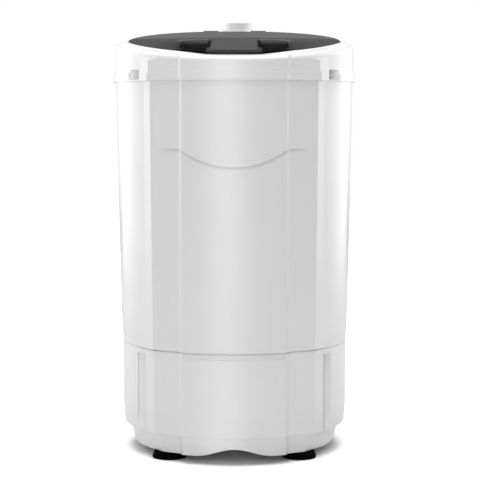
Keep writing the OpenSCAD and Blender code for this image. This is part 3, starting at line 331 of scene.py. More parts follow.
class Moulding(Effect):
    """The fine grain of a moulded face, and the slight cloudiness of its colour."""

    name = "moulding"
    inputs = {"Grain scale": 900.0, "Cloud scale": 9.0}
    outputs = ("Grain", "Clouds")
    grain_detail: float = 2.0
    cloud_detail: float = 3.0
    cloud_range: Range = (0.3, 0.7)

    @classmethod
    def draw(cls, sketch: Sketch, given: Node, result: Node) -> None:
        """Draw the grain and the clouds.

        Args:
            sketch: The builder on the group's tree.
            given: The group's input node.
            result: The group's output node.
        """
        place = sketch.here()
        grain = sketch.noise(place, given.outputs["Grain scale"], cls.grain_detail)
        clouds = sketch.noise(place, given.outputs["Cloud scale"], cls.cloud_detail)
        sketch.feed(result.inputs["Grain"], grain)
        sketch.feed(result.inputs["Clouds"], sketch.ramp(clouds, *cls.cloud_range))


class EdgeRubAndHighlight(Effect):
    """A mask on the outer edges, where hands and cloths rub; on the white pieces it serves as a painted
    highlight along edges and ridges.
    """

    name = "edge_rub_and_highlight"
    inputs = {"Radius": 0.001, "Breakup": 60.0}
    outputs = ("Mask",)
    samples: int = 4
    turn_range: Range = (0.998, 0.9)
    breakup_detail: float = 4.0
    breakup_range: Range = (0.35, 0.65)

    @classmethod
    def draw(cls, sketch: Sketch, given: Node, result: Node) -> None:
        """Compare the rounded normal with the plain one.

        Args:
            sketch: The builder on the group's tree.
            given: The group's input node.
            result: The group's output node.
        """
        round_off = sketch.add("ShaderNodeBevel", samples=cls.samples)
        sketch.feed(round_off.inputs["Radius"], given.outputs["Radius"])
        same = sketch.add("ShaderNodeVectorMath", operation="DOT_PRODUCT")
        sketch.feed(same.inputs[0], round_off.outputs[0])
        sketch.feed(same.inputs[1], sketch.add("ShaderNodeNewGeometry").outputs["Normal"])
        edge = sketch.ramp(same.outputs["Value"], *cls.turn_range)
        breakup = sketch.noise(sketch.here(), given.outputs["Breakup"], cls.breakup_detail)
        broken = sketch.ramp(breakup, *cls.breakup_range)
        sketch.feed(result.inputs["Mask"], sketch.product(edge, broken))


class Dust(Effect):
    """A mask of the dust that settles on what faces up."""

    name = "settled_dust"
    inputs = {"Scale": 40.0}
    outputs = ("Mask",)
    upward_range: Range = (0.5, 1.0)
    fleck_detail: float = 5.0
    fleck_range: Range = (0.4, 0.75)

    @classmethod
    def draw(cls, sketch: Sketch, given: Node, result: Node) -> None:
        """Take the upward part of the normal, broken up by noise.

        Args:
            sketch: The builder on the group's tree.
            given: The group's input node.
            result: The group's output node.
        """
        _, _, upward = sketch.split(sketch.add("ShaderNodeNewGeometry").outputs["Normal"])
        flecks = sketch.noise(sketch.here(), given.outputs["Scale"], cls.fleck_detail)
        mask = sketch.product(sketch.ramp(upward, *cls.upward_range), sketch.ramp(flecks, *cls.fleck_range))
        sketch.feed(result.inputs["Mask"], mask)


class Brushing(Effect):
    """Fine lines round the drum's axis, as a turned or brushed sheet has."""

    name = "brushing"
    inputs = {"Fineness": 700.0}
    outputs = ("Lines",)
    stretch: tuple[float, float, float] = (0.03, 0.03, 1.0)
    line_detail: float = 3.0

    @classmethod
    def draw(cls, sketch: Sketch, given: Node, result: Node) -> None:
        """Stretch noise sideways so that it runs in level lines.

        Args:
            sketch: The builder on the group's tree.
            given: The group's input node.
            result: The group's output node.
        """
        squeeze = sketch.add("ShaderNodeVectorMath", operation="MULTIPLY")
        sketch.feed(squeeze.inputs[0], sketch.here())
        squeeze.inputs[1].default_value = cls.stretch
        lines = sketch.noise(squeeze.outputs[0], given.outputs["Fineness"], cls.line_detail)
        sketch.feed(result.inputs["Lines"], lines)


# ---------------------------------------------------------------------------------------------
# Finishes


@dataclass(frozen=True)
class Deck:
    """The sloping plane that the lid and the control housing follow."""

    height: float = 614 * MM
    tilt: float = math.radians(8)
    axis_y: float = -14.65 * MM

    def matrix(self, u: float, v: float, w: float) -> Matrix:
        """Return a frame on the deck.

        Args:
            u: To the right of the middle.
            v: Back from the drum's axis, along the deck.
            w: Above the deck.

        Returns:
            The matrix from that frame to the row's frame.
        """
        on_deck = Matrix.Translation((0, self.axis_y, self.height)) @ Matrix.Rotation(self.tilt, 4, "X")
        return on_deck @ Matrix.Translation((u, v, w))

    def sockets(self, sketch: Sketch) -> tuple[Socket, Socket, Socket]:
        """Work out a surface's own place on the deck.

        Args:
            sketch: The builder on the material's tree.

        Returns:
            How far it is aside from the middle, back along the deck and above it.
        """
        x, y, z = sketch.split(sketch.here())
        back = sketch.maths(Maths.SUBTRACT, y, self.axis_y)
        up = sketch.maths(Maths.SUBTRACT, z, self.height)
        cosine, sine = math.cos(self.tilt), math.sin(self.tilt)
        along = sketch.maths(Maths.MULTIPLY_ADD, back, cosine, sketch.product(up, sine))
        above = sketch.maths(Maths.SUBTRACT, sketch.product(up, cosine), sketch.product(back, sine))
        return sketch.maths(Maths.ABSOLUTE, x), along, above


def darker(colour: Colour, part: float) -> Colour:
    """Darken a colour.

    Args:
        colour: The colour.
        part: How much of it is taken away, from 0 to 1.

    Returns:
        The darker colour.
    """
    return tuple(value * (1 - part) for value in colour)


@dataclass(frozen=True)
class Finish(ABC):
    """A finish: its name, its colour and how shiny it is."""

    name: str
    colour: Colour
    roughness: float

    def material(self) -> bpy.types.Material:
        """Return the finish's material, made on first use and kept apart from the frame's plain ones.

        Returns:
            The material.
        """
        name = f"{self.name}_finish"
        found = bpy.data.materials.get(name)
        if found is not None:
            return found
        made = bpy.data.materials.new(name)
        made.use_nodes = True
        made.diffuse_color = (*self.colour, 1.0)
        self.draw(Sketch(made.node_tree), made.node_tree.nodes["Principled BSDF"])
        return made

    @abstractmethod
    def draw(self, sketch: Sketch, shader: Node) -> None:
        """Draw the finish's nodes.

        Args:
            sketch: The builder on the material's tree.
            shader: The material's Principled BSDF.
        """


@dataclass(frozen=True)
class Plastic(Finish):
    """A moulded plastic or rubber, with grain, clouds, lighter edges and a little dust; the lighter edges
    are rubbed wear on the dark pieces and a painted highlight on the white ones.
    """

    specular: float = 0.5
    coat: float = 0.0
    coat_roughness: float = 0.3
    edge_radius: float = 0.8 * MM
    edge_samples: int = 6
    grain_scale: float = 900.0
    grain_depth: float = 0.02 * MM
    grain_strength: float = 0.5
    clouds: float = 0.02
    cloud_scale: float = 9.0
    cloud_dulling: float = 0.05
    rub_and_highlight: float = 0.15
    rub_and_highlight_breakup: float = 60.0
    rub_and_highlight_colour: Colour = (0.95, 0.95, 0.95)
    dust: float = 0.04
    dust_scale: float = 40.0
    dust_colour: Colour = (0.55, 0.54, 0.52)

    def shade(self, sketch: Sketch, colour: Socket) -> Socket:
        """Paint light and shade into the colour where the piece's own form would cast them; the plain
        plastic paints none.

        Args:
            sketch: The builder on the material's tree.
            colour: The plain colour.

        Returns:
            The changed colour.
        """
        return colour

    def draw(self, sketch: Sketch, shader: Node) -> None:
        """Draw the plastic's nodes.

        Args:
            sketch: The builder on the material's tree.
            shader: The material's Principled BSDF.
        """
        moulding = Moulding.place(sketch, grain_scale=self.grain_scale, cloud_scale=self.cloud_scale)
        rub_and_highlight = EdgeRubAndHighlight.place(sketch, radius=self.edge_radius, breakup=self.rub_and_highlight_breakup)
        dust = Dust.place(sketch, scale=self.dust_scale)
        cloudy = moulding.outputs["Clouds"]
        colour = sketch.tint(cloudy, self.colour, darker(self.colour, self.clouds))
        # Lighter edges: rubbed wear on the dark pieces, a painted highlight on the white ones.
        colour = sketch.tint(sketch.product(rub_and_highlight.outputs["Mask"], self.rub_and_highlight), colour, self.rub_and_highlight_colour)
        dusty = sketch.product(dust.outputs["Mask"], self.dust)
        colour = sketch.tint(dusty, colour, self.dust_colour)
        sketch.feed(shader.inputs["Base Color"], self.shade(sketch, colour))
        rough = sketch.maths(Maths.MULTIPLY_ADD, cloudy, self.cloud_dulling, self.roughness)
        sketch.feed(shader.inputs["Roughness"], sketch.maths(Maths.ADD, rough, dusty, clamp=True))
        sketch.feed(shader.inputs["Specular IOR Level"], self.specular)
        sketch.feed(shader.inputs["Coat Weight"], self.coat)
        sketch.feed(shader.inputs["Coat Roughness"], self.coat_roughness)
        normal = sketch.relief(moulding.outputs["Grain"], self.edge_radius, self.grain_depth,
                               self.grain_strength, self.edge_samples)
        sketch.feed(shader.inputs["Normal"], normal)


@dataclass(frozen=True)
class BrowPlastic(Plastic):
    """The jacket's plastic, with the soft shade that lies under the curved brow on its front.

    The brow is an arc across the middle panel, and goes on as a level step on the flank to each side.
    """

    half_width: float = 76.7 * MM
    low_z: float = 432.0 * MM
    rise: float = 25.5 * MM
    flank_reach: float = 34 * MM
    band_start: Range = (-0.6 * MM, 0.8 * MM)
    band_end: Range = (5.5 * MM, 1.2 * MM)
    front_y: Range = (-100 * MM, -130 * MM)
    depth: float = 0.17

    def under_brow(self, sketch: Sketch, aside: Socket, z: Socket) -> Socket:
        """Work out how far a surface lies below the brow.

        Args:
            sketch: The builder on the material's tree.
            aside: How far it is aside from the middle.
            z: Its height.

        Returns:
            The distance below the arc or, outside it, below the level step.
        """
        radius = (self.half_width ** 2 + self.rise ** 2) / (2 * self.rise)
        above = sketch.maths(Maths.SUBTRACT, z, self.low_z + radius)
        squares = sketch.maths(Maths.ADD, sketch.product(aside, aside), sketch.product(above, above))
        under_arc = sketch.maths(Maths.SUBTRACT, sketch.maths(Maths.SQUARE_ROOT, squares), radius)
        under_step = sketch.maths(Maths.SUBTRACT, self.low_z + self.rise, z)
        on_flank = sketch.maths(Maths.GREATER_THAN, aside, self.half_width)
        return sketch.choose(on_flank, under_arc, under_step)

    def shade(self, sketch: Sketch, colour: Socket) -> Socket:
        """Darken a band below the brow, fading out along the flanks.

        Args:
            sketch: The builder on the material's tree.
            colour: The plain colour.

        Returns:
            The changed colour.
        """
        x, y, z = sketch.split(sketch.here())
        aside = sketch.maths(Maths.ABSOLUTE, x)
        below = self.under_brow(sketch, aside, z)
        mask = sketch.product(
            sketch.ramp(below, *self.band_start),
            sketch.ramp(below, *self.band_end),
            sketch.ramp(aside, self.half_width + self.flank_reach, self.half_width),
            sketch.ramp(y, *self.front_y),
        )
        return sketch.tint(mask, colour, darker(self.colour, self.depth))


@dataclass(frozen=True)
class LidPlastic(Plastic):
    """The lid's smoked plastic with painted light and shade: a painted reflection makes it lighter to the
    rear, and painted shade darkens the front until it is almost black round its finger wells.

    A range of places goes from where its mask is 0 to where it is 1.
    """

    front_shade_colour: Colour = (0.045, 0.045, 0.046)
    well_shade_colour: Colour = (0.009, 0.009, 0.009)
    lit_colour: Colour = (0.2, 0.2, 0.2)
    gloss: float = 0.18
    front_v: Range = (26 * MM, 10 * MM)
    beside_v: Range = (0.0, -70 * MM)
    beside_u: Range = (140 * MM, 80 * MM)
    beside_depth: float = 0.5
    well_near_u: Range = (37 * MM, 42 * MM)
    well_far_u: Range = (91 * MM, 69 * MM)
    well_front_v: Range = (-30 * MM, -82 * MM)
    lit_front_v: Range = (-36 * MM, -26 * MM)
    lit_rear_v: Range = (-4 * MM, -12 * MM)
    lit_w: Range = (-1 * MM, 5 * MM)
    deck: Deck = Deck()

    def well_bands(self, sketch: Sketch, aside: Socket) -> Socket:
        """Return a mask that is 1 in the two bands along the lid that hold the wells.

        Args:
            sketch: The builder on the material's tree.
            aside: How far a surface is aside from the middle.

        Returns:
            The mask.
        """
        return sketch.product(sketch.ramp(aside, *self.well_near_u), sketch.ramp(aside, *self.well_far_u))

    def well_shade_mask(self, sketch: Sketch) -> Socket:
        """Return the mask of the painted shade round the wells, 1 from their middle to the lid's front
        edge.

        Args:
            sketch: The builder on the material's tree.

        Returns:
            The mask.
        """
        aside, along, _ = self.deck.sockets(sketch)
        return sketch.product(self.well_bands(sketch, aside), sketch.ramp(along, *self.well_front_v))

    def shade(self, sketch: Sketch, colour: Socket) -> Socket:
        """Paint shade over the front, most of all round the wells, and paint light on the upper edge of the
        wells' rear walls.

        Args:
            sketch: The builder on the material's tree.
            colour: The plain colour.

        Returns:
            The changed colour.
        """
        aside, along, above = self.deck.sockets(sketch)
        # Painted shade over the front and beside the wells, painted light on the wells' rear walls, then
        # the painted shade round the wells.
        colour = sketch.tint(sketch.ramp(along, *self.front_v), colour, self.front_shade_colour)
        beside = sketch.product(sketch.ramp(along, *self.beside_v), sketch.ramp(aside, *self.beside_u))
        colour = sketch.tint(beside, colour, darker(self.front_shade_colour, self.beside_depth))
        lit = sketch.product(
            self.well_bands(sketch, aside),
            sketch.ramp(along, *self.lit_front_v),
            sketch.ramp(along, *self.lit_rear_v),
            sketch.ramp(above, *self.lit_w),
        )
        colour = sketch.tint(lit, colour, self.lit_colour)
        return sketch.tint(self.well_shade_mask(sketch), colour, self.well_shade_colour)

    def draw(self, sketch: Sketch, shader: Node) -> None:
        """Draw the plastic's nodes, with a gloss everywhere but under the painted shade round the wells.

        Args:
            sketch: The builder on the material's tree.
            shader: The material's Principled BSDF.
        """
        super().draw(sketch, shader)
        outside = sketch.maths(Maths.SUBTRACT, 1.0, self.well_shade_mask(sketch))
        sketch.feed(shader.inputs["Coat Weight"], sketch.product(outside, self.gloss))


@dataclass(frozen=True)
class Metal(Finish):
    """A bare metal, with brushed lines and slightly dulled patches."""

    metallic: float = 1.0
    edge_radius: float = 0.4 * MM
    edge_samples: int = 4
    fineness: float = 700.0
    line_depth: float = 0.02 * MM
    line_strength: float = 0.4
    line_dulling: float = 0.12
    patches: float = 0.14
    patch_scale: float = 14.0

    def draw(self, sketch: Sketch, shader: Node) -> None:
        """Draw the metal's nodes.

        Args:
            sketch: The builder on the material's tree.
            shader: The material's Principled BSDF.
        """
        lines = Brushing.place(sketch, fineness=self.fineness).outputs["Lines"]
        clouds = Moulding.place(sketch, cloud_scale=self.patch_scale).outputs["Clouds"]
        colour = sketch.tint(clouds, self.colour, darker(self.colour, self.patches))
        sketch.feed(shader.inputs["Base Color"], colour)
        smoothest = self.roughness - self.line_dulling / 2
        rough = sketch.maths(Maths.MULTIPLY_ADD, lines, self.line_dulling, smoothest)
        sketch.feed(shader.inputs["Roughness"], rough)
        sketch.feed(shader.inputs["Metallic"], self.metallic)
        normal = sketch.relief(lines, self.edge_radius, self.line_depth,
                               self.line_strength, self.edge_samples)
        sketch.feed(shader.inputs["Normal"], normal)


# On the white shells the lighter edges are a painted highlight along their edges and ridges.
WHITE_SHELL = BrowPlastic("white_shell", (0.82, 0.82, 0.82), 0.36, coat=1.0, edge_radius=1.6 * MM,
                          rub_and_highlight=0.5, dust=0.02)
WHITE_BASE = Plastic("white_base", (0.82, 0.82, 0.82), 0.4, coat=1.0, edge_radius=1.4 * MM,
                     rub_and_highlight=0.5, dust=0.02)
WHITE_KNOB = Plastic("knob_plastic", (0.84, 0.84, 0.84), 0.4, rub_and_highlight=0.2)
SMOKED_LID = LidPlastic("lid_dark", (0.1, 0.1, 0.101), 0.4, specular=0.0, edge_radius=1.2 * MM,
                        rub_and_highlight=0.1, rub_and_highlight_colour=(0.2, 0.2, 0.2), dust=0.0)
GRIP_PAD = Plastic("lid_grip", (0.05, 0.05, 0.051), 0.5, specular=0.03, edge_radius=0.5 * MM,
                   grain_scale=1400.0, grain_depth=0.08 * MM, rub_and_highlight=0.1, rub_and_highlight_colour=(0.16, 0.16, 0.16),
                   dust=0.02)
BLACK_RUBBER = Plastic("rubber_black", (0.003, 0.003, 0.003), 0.9, specular=0.02, grain_scale=600.0,
                       grain_depth=0.06 * MM, rub_and_highlight=0.3, rub_and_highlight_colour=(0.008, 0.008, 0.008), dust=0.0)
TUB_PLASTIC = Plastic("inner_plastic", (0.78, 0.78, 0.78), 0.45, rub_and_highlight=0.0)
RIM_PLASTIC = Plastic("rim_plastic", (0.55, 0.55, 0.56), 0.4, rub_and_highlight=0.05)
BLACK_PLASTIC = Plastic("black_plastic", (0.02, 0.02, 0.021), 0.5, rub_and_highlight=0.2, rub_and_highlight_colour=(0.06, 0.06, 0.06))
WHITE_PARTS = Plastic("white_parts", (0.75, 0.75, 0.74), 0.5, edge_radius=0.3 * MM)
PLATE_PAINT = Plastic("plate_paint", (0.28, 0.3, 0.32), 0.35, edge_radius=0.5 * MM, rub_and_highlight=0.5,
                      rub_and_highlight_colour=(0.5, 0.5, 0.5))
GREY_MARKING = Plastic("marking_grey", (0.12, 0.12, 0.12), 0.6, edge_radius=0.1 * MM, rub_and_highlight=0.0)
DRUM_STEEL = Metal("drum_steel", (0.62, 0.62, 0.63), 0.28)
FASTENER_STEEL = Metal("fastener_steel", (0.5, 0.5, 0.51), 0.32, edge_radius=0.3 * MM)
DULL_STEEL = Metal("dull_steel", (0.42, 0.42, 0.425), 0.5, edge_radius=0.3 * MM)
CAST_ALUMINIUM = Metal("cast_aluminium", (0.6, 0.6, 0.61), 0.5, line_depth=0.1 * MM)
CAN_ALUMINIUM = Metal("can_aluminium", (0.66, 0.66, 0.67), 0.3)
MOTOR_IRON = Metal("motor_iron", (0.16, 0.16, 0.165), 0.55, line_depth=0.1 * MM, metallic=0.8)
COPPER_WIRE = Metal("copper_wire", (0.72, 0.32, 0.14), 0.35, line_depth=0.4 * MM)


# ---------------------------------------------------------------------------------------------
# Sub-assemblies


def smooth(value: float, low: float, high: float) -> float:
    """Map a value smoothly from a range onto 0 to 1.

    Args:
        value: The value.
        low: Where the result is 0.
        high: Where the result is 1.

    Returns:
        The mapped value.
    """
    part = min(max((value - low) / (high - low), 0.0), 1.0)
    return part * part * (3 - 2 * part)


def dress(piece: bpy.types.Object, finish: Finish) -> None:
    """Give a piece one finish all over.

    Args:
        piece: The object.
        finish: Its finish.
    """
    piece.data.materials.clear()
    piece.data.materials.append(finish.material())


def new_object(name: str, mesh: bmesh.types.BMesh) -> bpy.types.Object:
    """Turn a finished bmesh into an object.

    Args:
        name: The object's name.
        mesh: Its shape, which is freed.

    Returns:
        The object, linked to the scene.
    """
    data = bpy.data.meshes.new(name)
    mesh.to_mesh(data)
    mesh.free()
    made = bpy.data.objects.new(name, data)
    bpy.context.scene.collection.objects.link(made)
    return made


class SubAssembly(ABC):
    """A group of pieces that is dressed, and added to, together."""

    @abstractmethod
    def finishes(self) -> dict[Finish, Sequence[str]]:
        """Return the CAD nodes of each finish."""

    def build(self) -> list[bpy.types.Object]:
        """Build the pieces that the CAD leaves to this script, and return them."""
        return []

    def make(self, frame: Frame) -> None:
        """Dress the CAD nodes and build the new pieces.

        Args:
            frame: The loaded frame.
        """
        for finish, nodes in self.finishes().items():
            for name in nodes:
                dress(frame["nodes"][name], finish)
                LOG.info("%s: %s", name, finish.name)
        for piece in self.build():
            LOG.info("%s: new piece", piece.name)


@dataclass
class Shells(SubAssembly):
    """The base, the jacket, the collar, their screws and the feet.

    The collar's crest rises round the sides of the lid, and is lowest in the middle of the front. Each of
    its rises is a height, and how far from the middle that rise begins and ends.
    """

    deck: Deck = Deck()
    crest_inner: float = 162.8 * MM
    crest_outer: float = 171.5 * MM
    crest_foot: float = -2.4 * MM
    crest_end: float = -1.4 * MM
    crest_sunk: float = 0.5 * MM
    crest_rises: tuple[tuple[float, float, float], ...] = (
        (3.6 * MM, 18 * MM, 90 * MM),
        (2.9 * MM, 60 * MM, 170 * MM),
    )
    crest_fades: Range = (-30 * MM, 34 * MM)
    crest_round: tuple[Point, ...] = (
        (0.0, 1.2 * MM),
        (0.3 * MM, 0.4 * MM),
        (0.8 * MM, 0.1 * MM),
        (1.6 * MM, 0.0),
    )
    crest_fall: float = 1.6
    crest_fall_steps: int = 8
    crest_start: float = math.radians(-195)
    crest_sweep: float = math.radians(210)
    crest_steps: int = 160

    def finishes(self) -> dict[Finish, Sequence[str]]:
        """Return the CAD nodes of each finish."""
        return {
            WHITE_BASE: ("base_shell",),
            WHITE_SHELL: ("body_shell", "top_collar"),
            DULL_STEEL: ("collar_screws",),
            FASTENER_STEEL: ("seam_screws", "foot_screws"),
            BLACK_RUBBER: ("rubber_feet",),
            BLACK_PLASTIC: ("cord_gland", "cord_bush"),
        }

    def crest_height(self, u: float, v: float) -> float:
        """Return how high the crest stands over the deck.

        Args:
            u: To the right of the middle.
            v: Back from the drum's axis, along the deck.

        Returns:
            The height.
        """
        rise = sum(top * smooth(abs(u), low, high) for top, low, high in self.crest_rises)
        fade = 1 - smooth(v, *self.crest_fades)
        return rise * fade - self.crest_sunk

    def crest_profile(self, height: float) -> list[Point]:
        """Return the crest's outline at one place, up its inner face, over its top and down outside.

        Args:
            height: The crest's height there.

        Returns:
            The radius and the height over the deck of each point, in order.
        """
        points = [(self.crest_inner, self.crest_foot)]
        points += [(self.crest_inner + out, height - down) for out, down in self.crest_round]
        lip = points[-1][0]
        for step in range(1, self.crest_fall_steps + 1):
            part = step / self.crest_fall_steps
            fallen = (height - self.crest_end) * part ** self.crest_fall
            points.append((lip + (self.crest_outer - lip) * part, height - fallen))
        return [*points, (self.crest_outer, self.crest_foot)]

    def build(self) -> list[bpy.types.Object]:
        """Build the collar's crest, swept round the front and the sides of the lid.

        Returns:
            The crest.
        """
        mesh = bmesh.new()
        rings = []
        for step in range(self.crest_steps + 1):
            angle = self.crest_start + self.crest_sweep * step / self.crest_steps
            across, along = math.cos(angle), math.sin(angle)
            height = self.crest_height(across * self.crest_inner, along * self.crest_inner)
            rings.append([mesh.verts.new(self.deck.matrix(across * r, along * r, w).translation)
                          for r, w in self.crest_profile(height)])
        for one, two in zip(rings, rings[1:]):
            for index in range(len(one)):
                after = (index + 1) % len(one)
                mesh.faces.new((one[index], one[after], two[after], two[index])).smooth = True
        mesh.faces.new(rings[0][::-1])
        mesh.faces.new(rings[-1])
        bmesh.ops.recalc_face_normals(mesh, faces=mesh.faces[:])
        crest = new_object("collar_crest", mesh)
        dress(crest, WHITE_SHELL)
        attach(crest, Body.CABINET.value)
        return [crest]


@dataclass
class LidUnit(SubAssembly):
    """The lid with its grip, its gasket and its hinge."""

    def finishes(self) -> dict[Finish, Sequence[str]]:
        """Return the CAD nodes of each finish."""
        return {
            SMOKED_LID: ("lid_panel",),
            GRIP_PAD: ("lid_grip",),
            BLACK_RUBBER: ("lid_gasket",),
            FASTENER_STEEL: ("hinge_pins",),
        }


@dataclass
class Control(SubAssembly):
    """The control housing with its timer, dial and lid switch."""

    deck: Deck = Deck()
    knob_u: float = 5.5 * MM
    knob_v: float = 187 * MM
    top_w: float = 2.5 * MM
    tick_from: float = 23.6 * MM
    tick_to: float = 26.2 * MM
    tick_width: float = 0.7 * MM
    tick_height: float = 0.15 * MM
    tick_bevel: float = 0.05 * MM
    tick_step: float = math.radians(14)
    ticks_each_side: int = 2

    def finishes(self) -> dict[Finish, Sequence[str]]:
        """Return the CAD nodes of each finish."""
        return {
            WHITE_SHELL: ("control_housing",),
            WHITE_KNOB: ("timer_knob",),
            FASTENER_STEEL: ("timer_spindle", "housing_screws"),
            WHITE_PARTS: ("timer_body", "interlock_plunger"),
            BLACK_PLASTIC: ("interlock_switch",),
        }

    def build(self) -> list[bpy.types.Object]:
        """Build the dial's scale, as thin marks on the housing to the right and the left of the knob.

        Returns:
            The scale.
        """
        mesh = bmesh.new()
        place = self.deck.matrix(self.knob_u, self.knob_v, self.top_w)
        length, middle = self.tick_to - self.tick_from, (self.tick_from + self.tick_to) / 2
        size = Matrix.Diagonal((length, self.tick_width, self.tick_height * 2, 1))
        for side in (0.0, math.pi):
            for step in range(-self.ticks_each_side, self.ticks_each_side + 1):
                turn = Matrix.Rotation(side + step * self.tick_step, 4, "Z")
                along = Matrix.Translation((middle, 0, 0))
                bmesh.ops.create_cube(mesh, size=1.0, matrix=place @ turn @ along @ size)
        bmesh.ops.bevel(mesh, geom=mesh.edges[:], offset=self.tick_bevel, segments=1, affect="EDGES")
        scale = new_object("dial_scale", mesh)
        dress(scale, GREY_MARKING)
        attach(scale, Body.CABINET.value)
        return [scale]


@dataclass
class TubAndDrum(SubAssembly):
    """The tub, its drain and the drum that spins in it."""

    def finishes(self) -> dict[Finish, Sequence[str]]:
        """Return the CAD nodes of each finish."""
        return {
            TUB_PLASTIC: ("outer_tub", "tub_cover", "throat_ring", "drain_spout", "drum_hub"),
            BLACK_RUBBER: ("tub_seal", "drain_gasket"),
            DRUM_STEEL: ("spin_drum",),
            RIM_PLASTIC: ("drum_rim",),
            CAST_ALUMINIUM: ("drum_flange",),
            FASTENER_STEEL: ("drum_nut", "drive_shaft"),
        }


@dataclass
class Drive(SubAssembly):
    """The motor with its mounts, its electrical pieces and the brake."""

    def finishes(self) -> dict[Finish, Sequence[str]]:
        """Return the CAD nodes of each finish."""
        return {
            PLATE_PAINT: ("motor_plate", "brake_lever"),
            CAST_ALUMINIUM: ("motor_upper_bell", "motor_lower_bell"),
            MOTOR_IRON: ("motor_core", "motor_rotor", "brake_drum"),
            COPPER_WIRE: ("motor_windings",),
            FASTENER_STEEL: (
                "motor_bolts", "upper_bearing", "lower_bearing", "mount_springs", "mount_bolts",
                "brake_pivot_pin", "brake_return_spring", "brake_rod", "capacitor_clip",
            ),
            BLACK_RUBBER: ("rubber_mounts",),
            BLACK_PLASTIC: ("cooling_fan", "brake_pad"),
            CAN_ALUMINIUM: ("capacitor",),
            WHITE_PARTS: ("terminal_block",),
        }


# ---------------------------------------------------------------------------------------------
# Studio


AIM = Vector((0, 0, 0.36))


@dataclass(frozen=True)
class SoftBox:
    """A rectangular lamp that faces the middle of the object."""

    name: str
    place: tuple[float, float, float]
    width: float
    height: float
    power: float

    def hang(self) -> None:
        """Put the lamp into the scene."""
        lamp = bpy.data.lights.new(self.name, "AREA")
        lamp.shape = "RECTANGLE"
        lamp.size, lamp.size_y = self.width, self.height
        lamp.energy = self.power
        holder = bpy.data.objects.new(self.name, lamp)
        holder.location = self.place
        holder.rotation_euler = (AIM - Vector(self.place)).to_track_quat("-Z", "Y").to_euler()
        bpy.context.scene.collection.objects.link(holder)


SOFT_BOXES = (
    SoftBox("left_box", (-2.4, 0.35, 0.9), 1.2, 2.2, 12.4),
    SoftBox("right_box", (2.4, 0.35, 0.9), 1.2, 2.2, 10.8),
    SoftBox("left_back_box", (-2.0, 1.6, 0.9), 1.6, 2.2, 23.2),
    SoftBox("right_back_box", (2.0, 1.6, 0.9), 1.6, 2.2, 21.9),
    SoftBox("front_strip", (-0.35, -3.0, 0.9), 1.3, 2.2, 25.0),
    SoftBox("top_box", (0.0, -0.3, 2.6), 2.0, 2.0, 52.0),
)


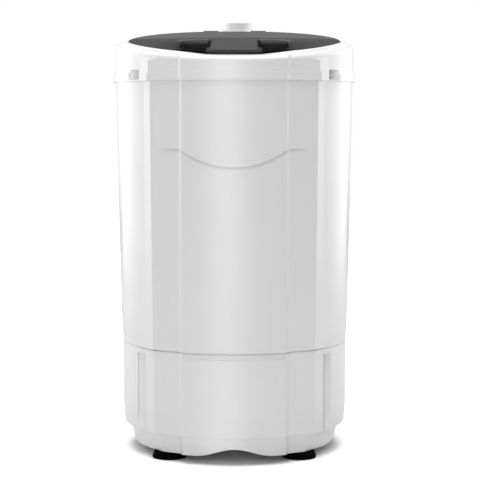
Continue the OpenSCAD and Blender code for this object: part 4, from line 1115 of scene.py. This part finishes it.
@dataclass
class Studio:
    """The floor, the light and the camera.

    Reflections see a bright card on the floor in front of the object, which widens away from it.
    """

    camera_place: tuple[float, float, float] = (0.0085, -2.39965, 0.5075)
    camera_pitch: float = math.radians(85.39)
    lens: float = 117.2
    camera_reach: float = 50.0
    ambient: float = 0.13
    mirrored: float = 0.77
    floor_size: float = 12.0
    floor_roughness: float = 0.9
    floor_unseen: float = 0.8
    floor_shown: float = 1.6
    floor_painted_shadow: float = 0.75
    under_reach: Range = (0.12, 0.2)
    shadow_reach: Range = (0.42, 0.7)
    card_glow: float = 1.4
    card_middle: float = -0.117
    card_edge: Range = (0.28, 0.12)
    card_y: Range = (-0.1, -0.2)

    def build(self) -> None:
        """Make the camera, the world, the lamps and the floor."""
        self.set_camera()
        self.set_world()
        self.lay_floor()
        for box in SOFT_BOXES:
            box.hang()

    def set_camera(self) -> None:
        """Create the camera at the photograph's viewing angle."""
        data = bpy.data.cameras.new("camera")
        data.lens = self.lens
        data.clip_end = self.camera_reach
        camera = bpy.data.objects.new("camera", data)
        camera.location = self.camera_place
        camera.rotation_euler = (self.camera_pitch, 0, 0)
        bpy.context.scene.collection.objects.link(camera)
        bpy.context.scene.camera = camera

    def set_world(self) -> None:
        """Light the scene evenly, and show white where the camera or a reflection looks past the object."""
        world = bpy.data.worlds.new("studio")
        bpy.context.scene.world = world
        world.use_nodes = True
        sketch = Sketch(world.node_tree)
        back = world.node_tree.nodes["Background"]
        sketch.feed(back.inputs["Color"], (1.0, 1.0, 1.0))
        path = sketch.add("ShaderNodeLightPath").outputs
        mirrored = sketch.maths(Maths.MAXIMUM, path["Is Glossy Ray"], path["Is Transmission Ray"])
        unseen = sketch.maths(Maths.MULTIPLY_ADD, mirrored, self.mirrored - self.ambient, self.ambient)
        strength = sketch.maths(Maths.MAXIMUM, unseen, path["Is Camera Ray"])
        sketch.feed(back.inputs["Strength"], strength)

    def card(self, sketch: Sketch) -> Socket:
        """Return the mask of the bright card, between two lines that spread from under the object.

        Args:
            sketch: The builder on the floor's tree.

        Returns:
            The mask.
        """
        x, y, _ = sketch.split(sketch.here())
        slant = sketch.maths(Maths.DIVIDE, x, sketch.product(y, -1.0))
        off = sketch.maths(Maths.ABSOLUTE, sketch.maths(Maths.SUBTRACT, slant, self.card_middle))
        return sketch.product(sketch.ramp(off, *self.card_edge), sketch.ramp(y, *self.card_y))

    def floor_paint(self) -> bpy.types.Material:
        """Mix a paint that shows white to the camera far out, takes the object's shadow near it, and has a
        painted shadow right under the object.

        Returns:
            The material.
        """
        paint = bpy.data.materials.new("floor_paint")
        paint.use_nodes = True
        sketch = Sketch(paint.node_tree)
        inputs = paint.node_tree.nodes["Principled BSDF"].inputs
        sketch.feed(inputs["Roughness"], self.floor_roughness)
        sketch.feed(inputs["Specular IOR Level"], 0.0)
        path = sketch.add("ShaderNodeLightPath").outputs
        seen = path["Is Camera Ray"]
        length = sketch.add("ShaderNodeVectorMath", operation="LENGTH")
        sketch.feed(length.inputs[0], sketch.here())
        distance = length.outputs["Value"]
        # Painted shadow: the floor shows darker to the camera right under the object.
        shown = sketch.tint(sketch.ramp(distance, *self.under_reach),
                            (self.floor_painted_shadow,) * 3, (self.floor_shown,) * 3)
        sketch.feed(inputs["Base Color"], sketch.tint(seen, (self.floor_unseen,) * 3, shown))
        far = sketch.product(sketch.ramp(distance, *self.shadow_reach), seen)
        card = sketch.product(self.card(sketch), path["Is Glossy Ray"], self.card_glow)
        sketch.feed(inputs["Emission Color"], (1.0, 1.0, 1.0))
        sketch.feed(inputs["Emission Strength"], sketch.maths(Maths.ADD, far, card))
        return paint

    def lay_floor(self) -> None:
        """Lay a pale floor that shows white to the camera and keeps the object's shadow."""
        mesh = bmesh.new()
        bmesh.ops.create_grid(mesh, x_segments=1, y_segments=1, size=self.floor_size / 2)
        floor = new_object("studio_floor", mesh)
        floor.data.materials.append(self.floor_paint())


def main() -> None:
    """Load the frame, dress every sub-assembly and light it."""
    logging.basicConfig(level=logging.INFO, format="%(name)s %(message)s")
    for thing in list(bpy.data.objects):
        bpy.data.objects.remove(thing)
    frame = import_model()
    bpy.context.scene.view_settings.view_transform = "Standard"
    Studio().build()
    for part in (Shells(), LidUnit(), Control(), TubAndDrum(), Drive()):
        part.make(frame)
    bpy.context.view_layer.update()


if __name__ == "__main__":
    main()
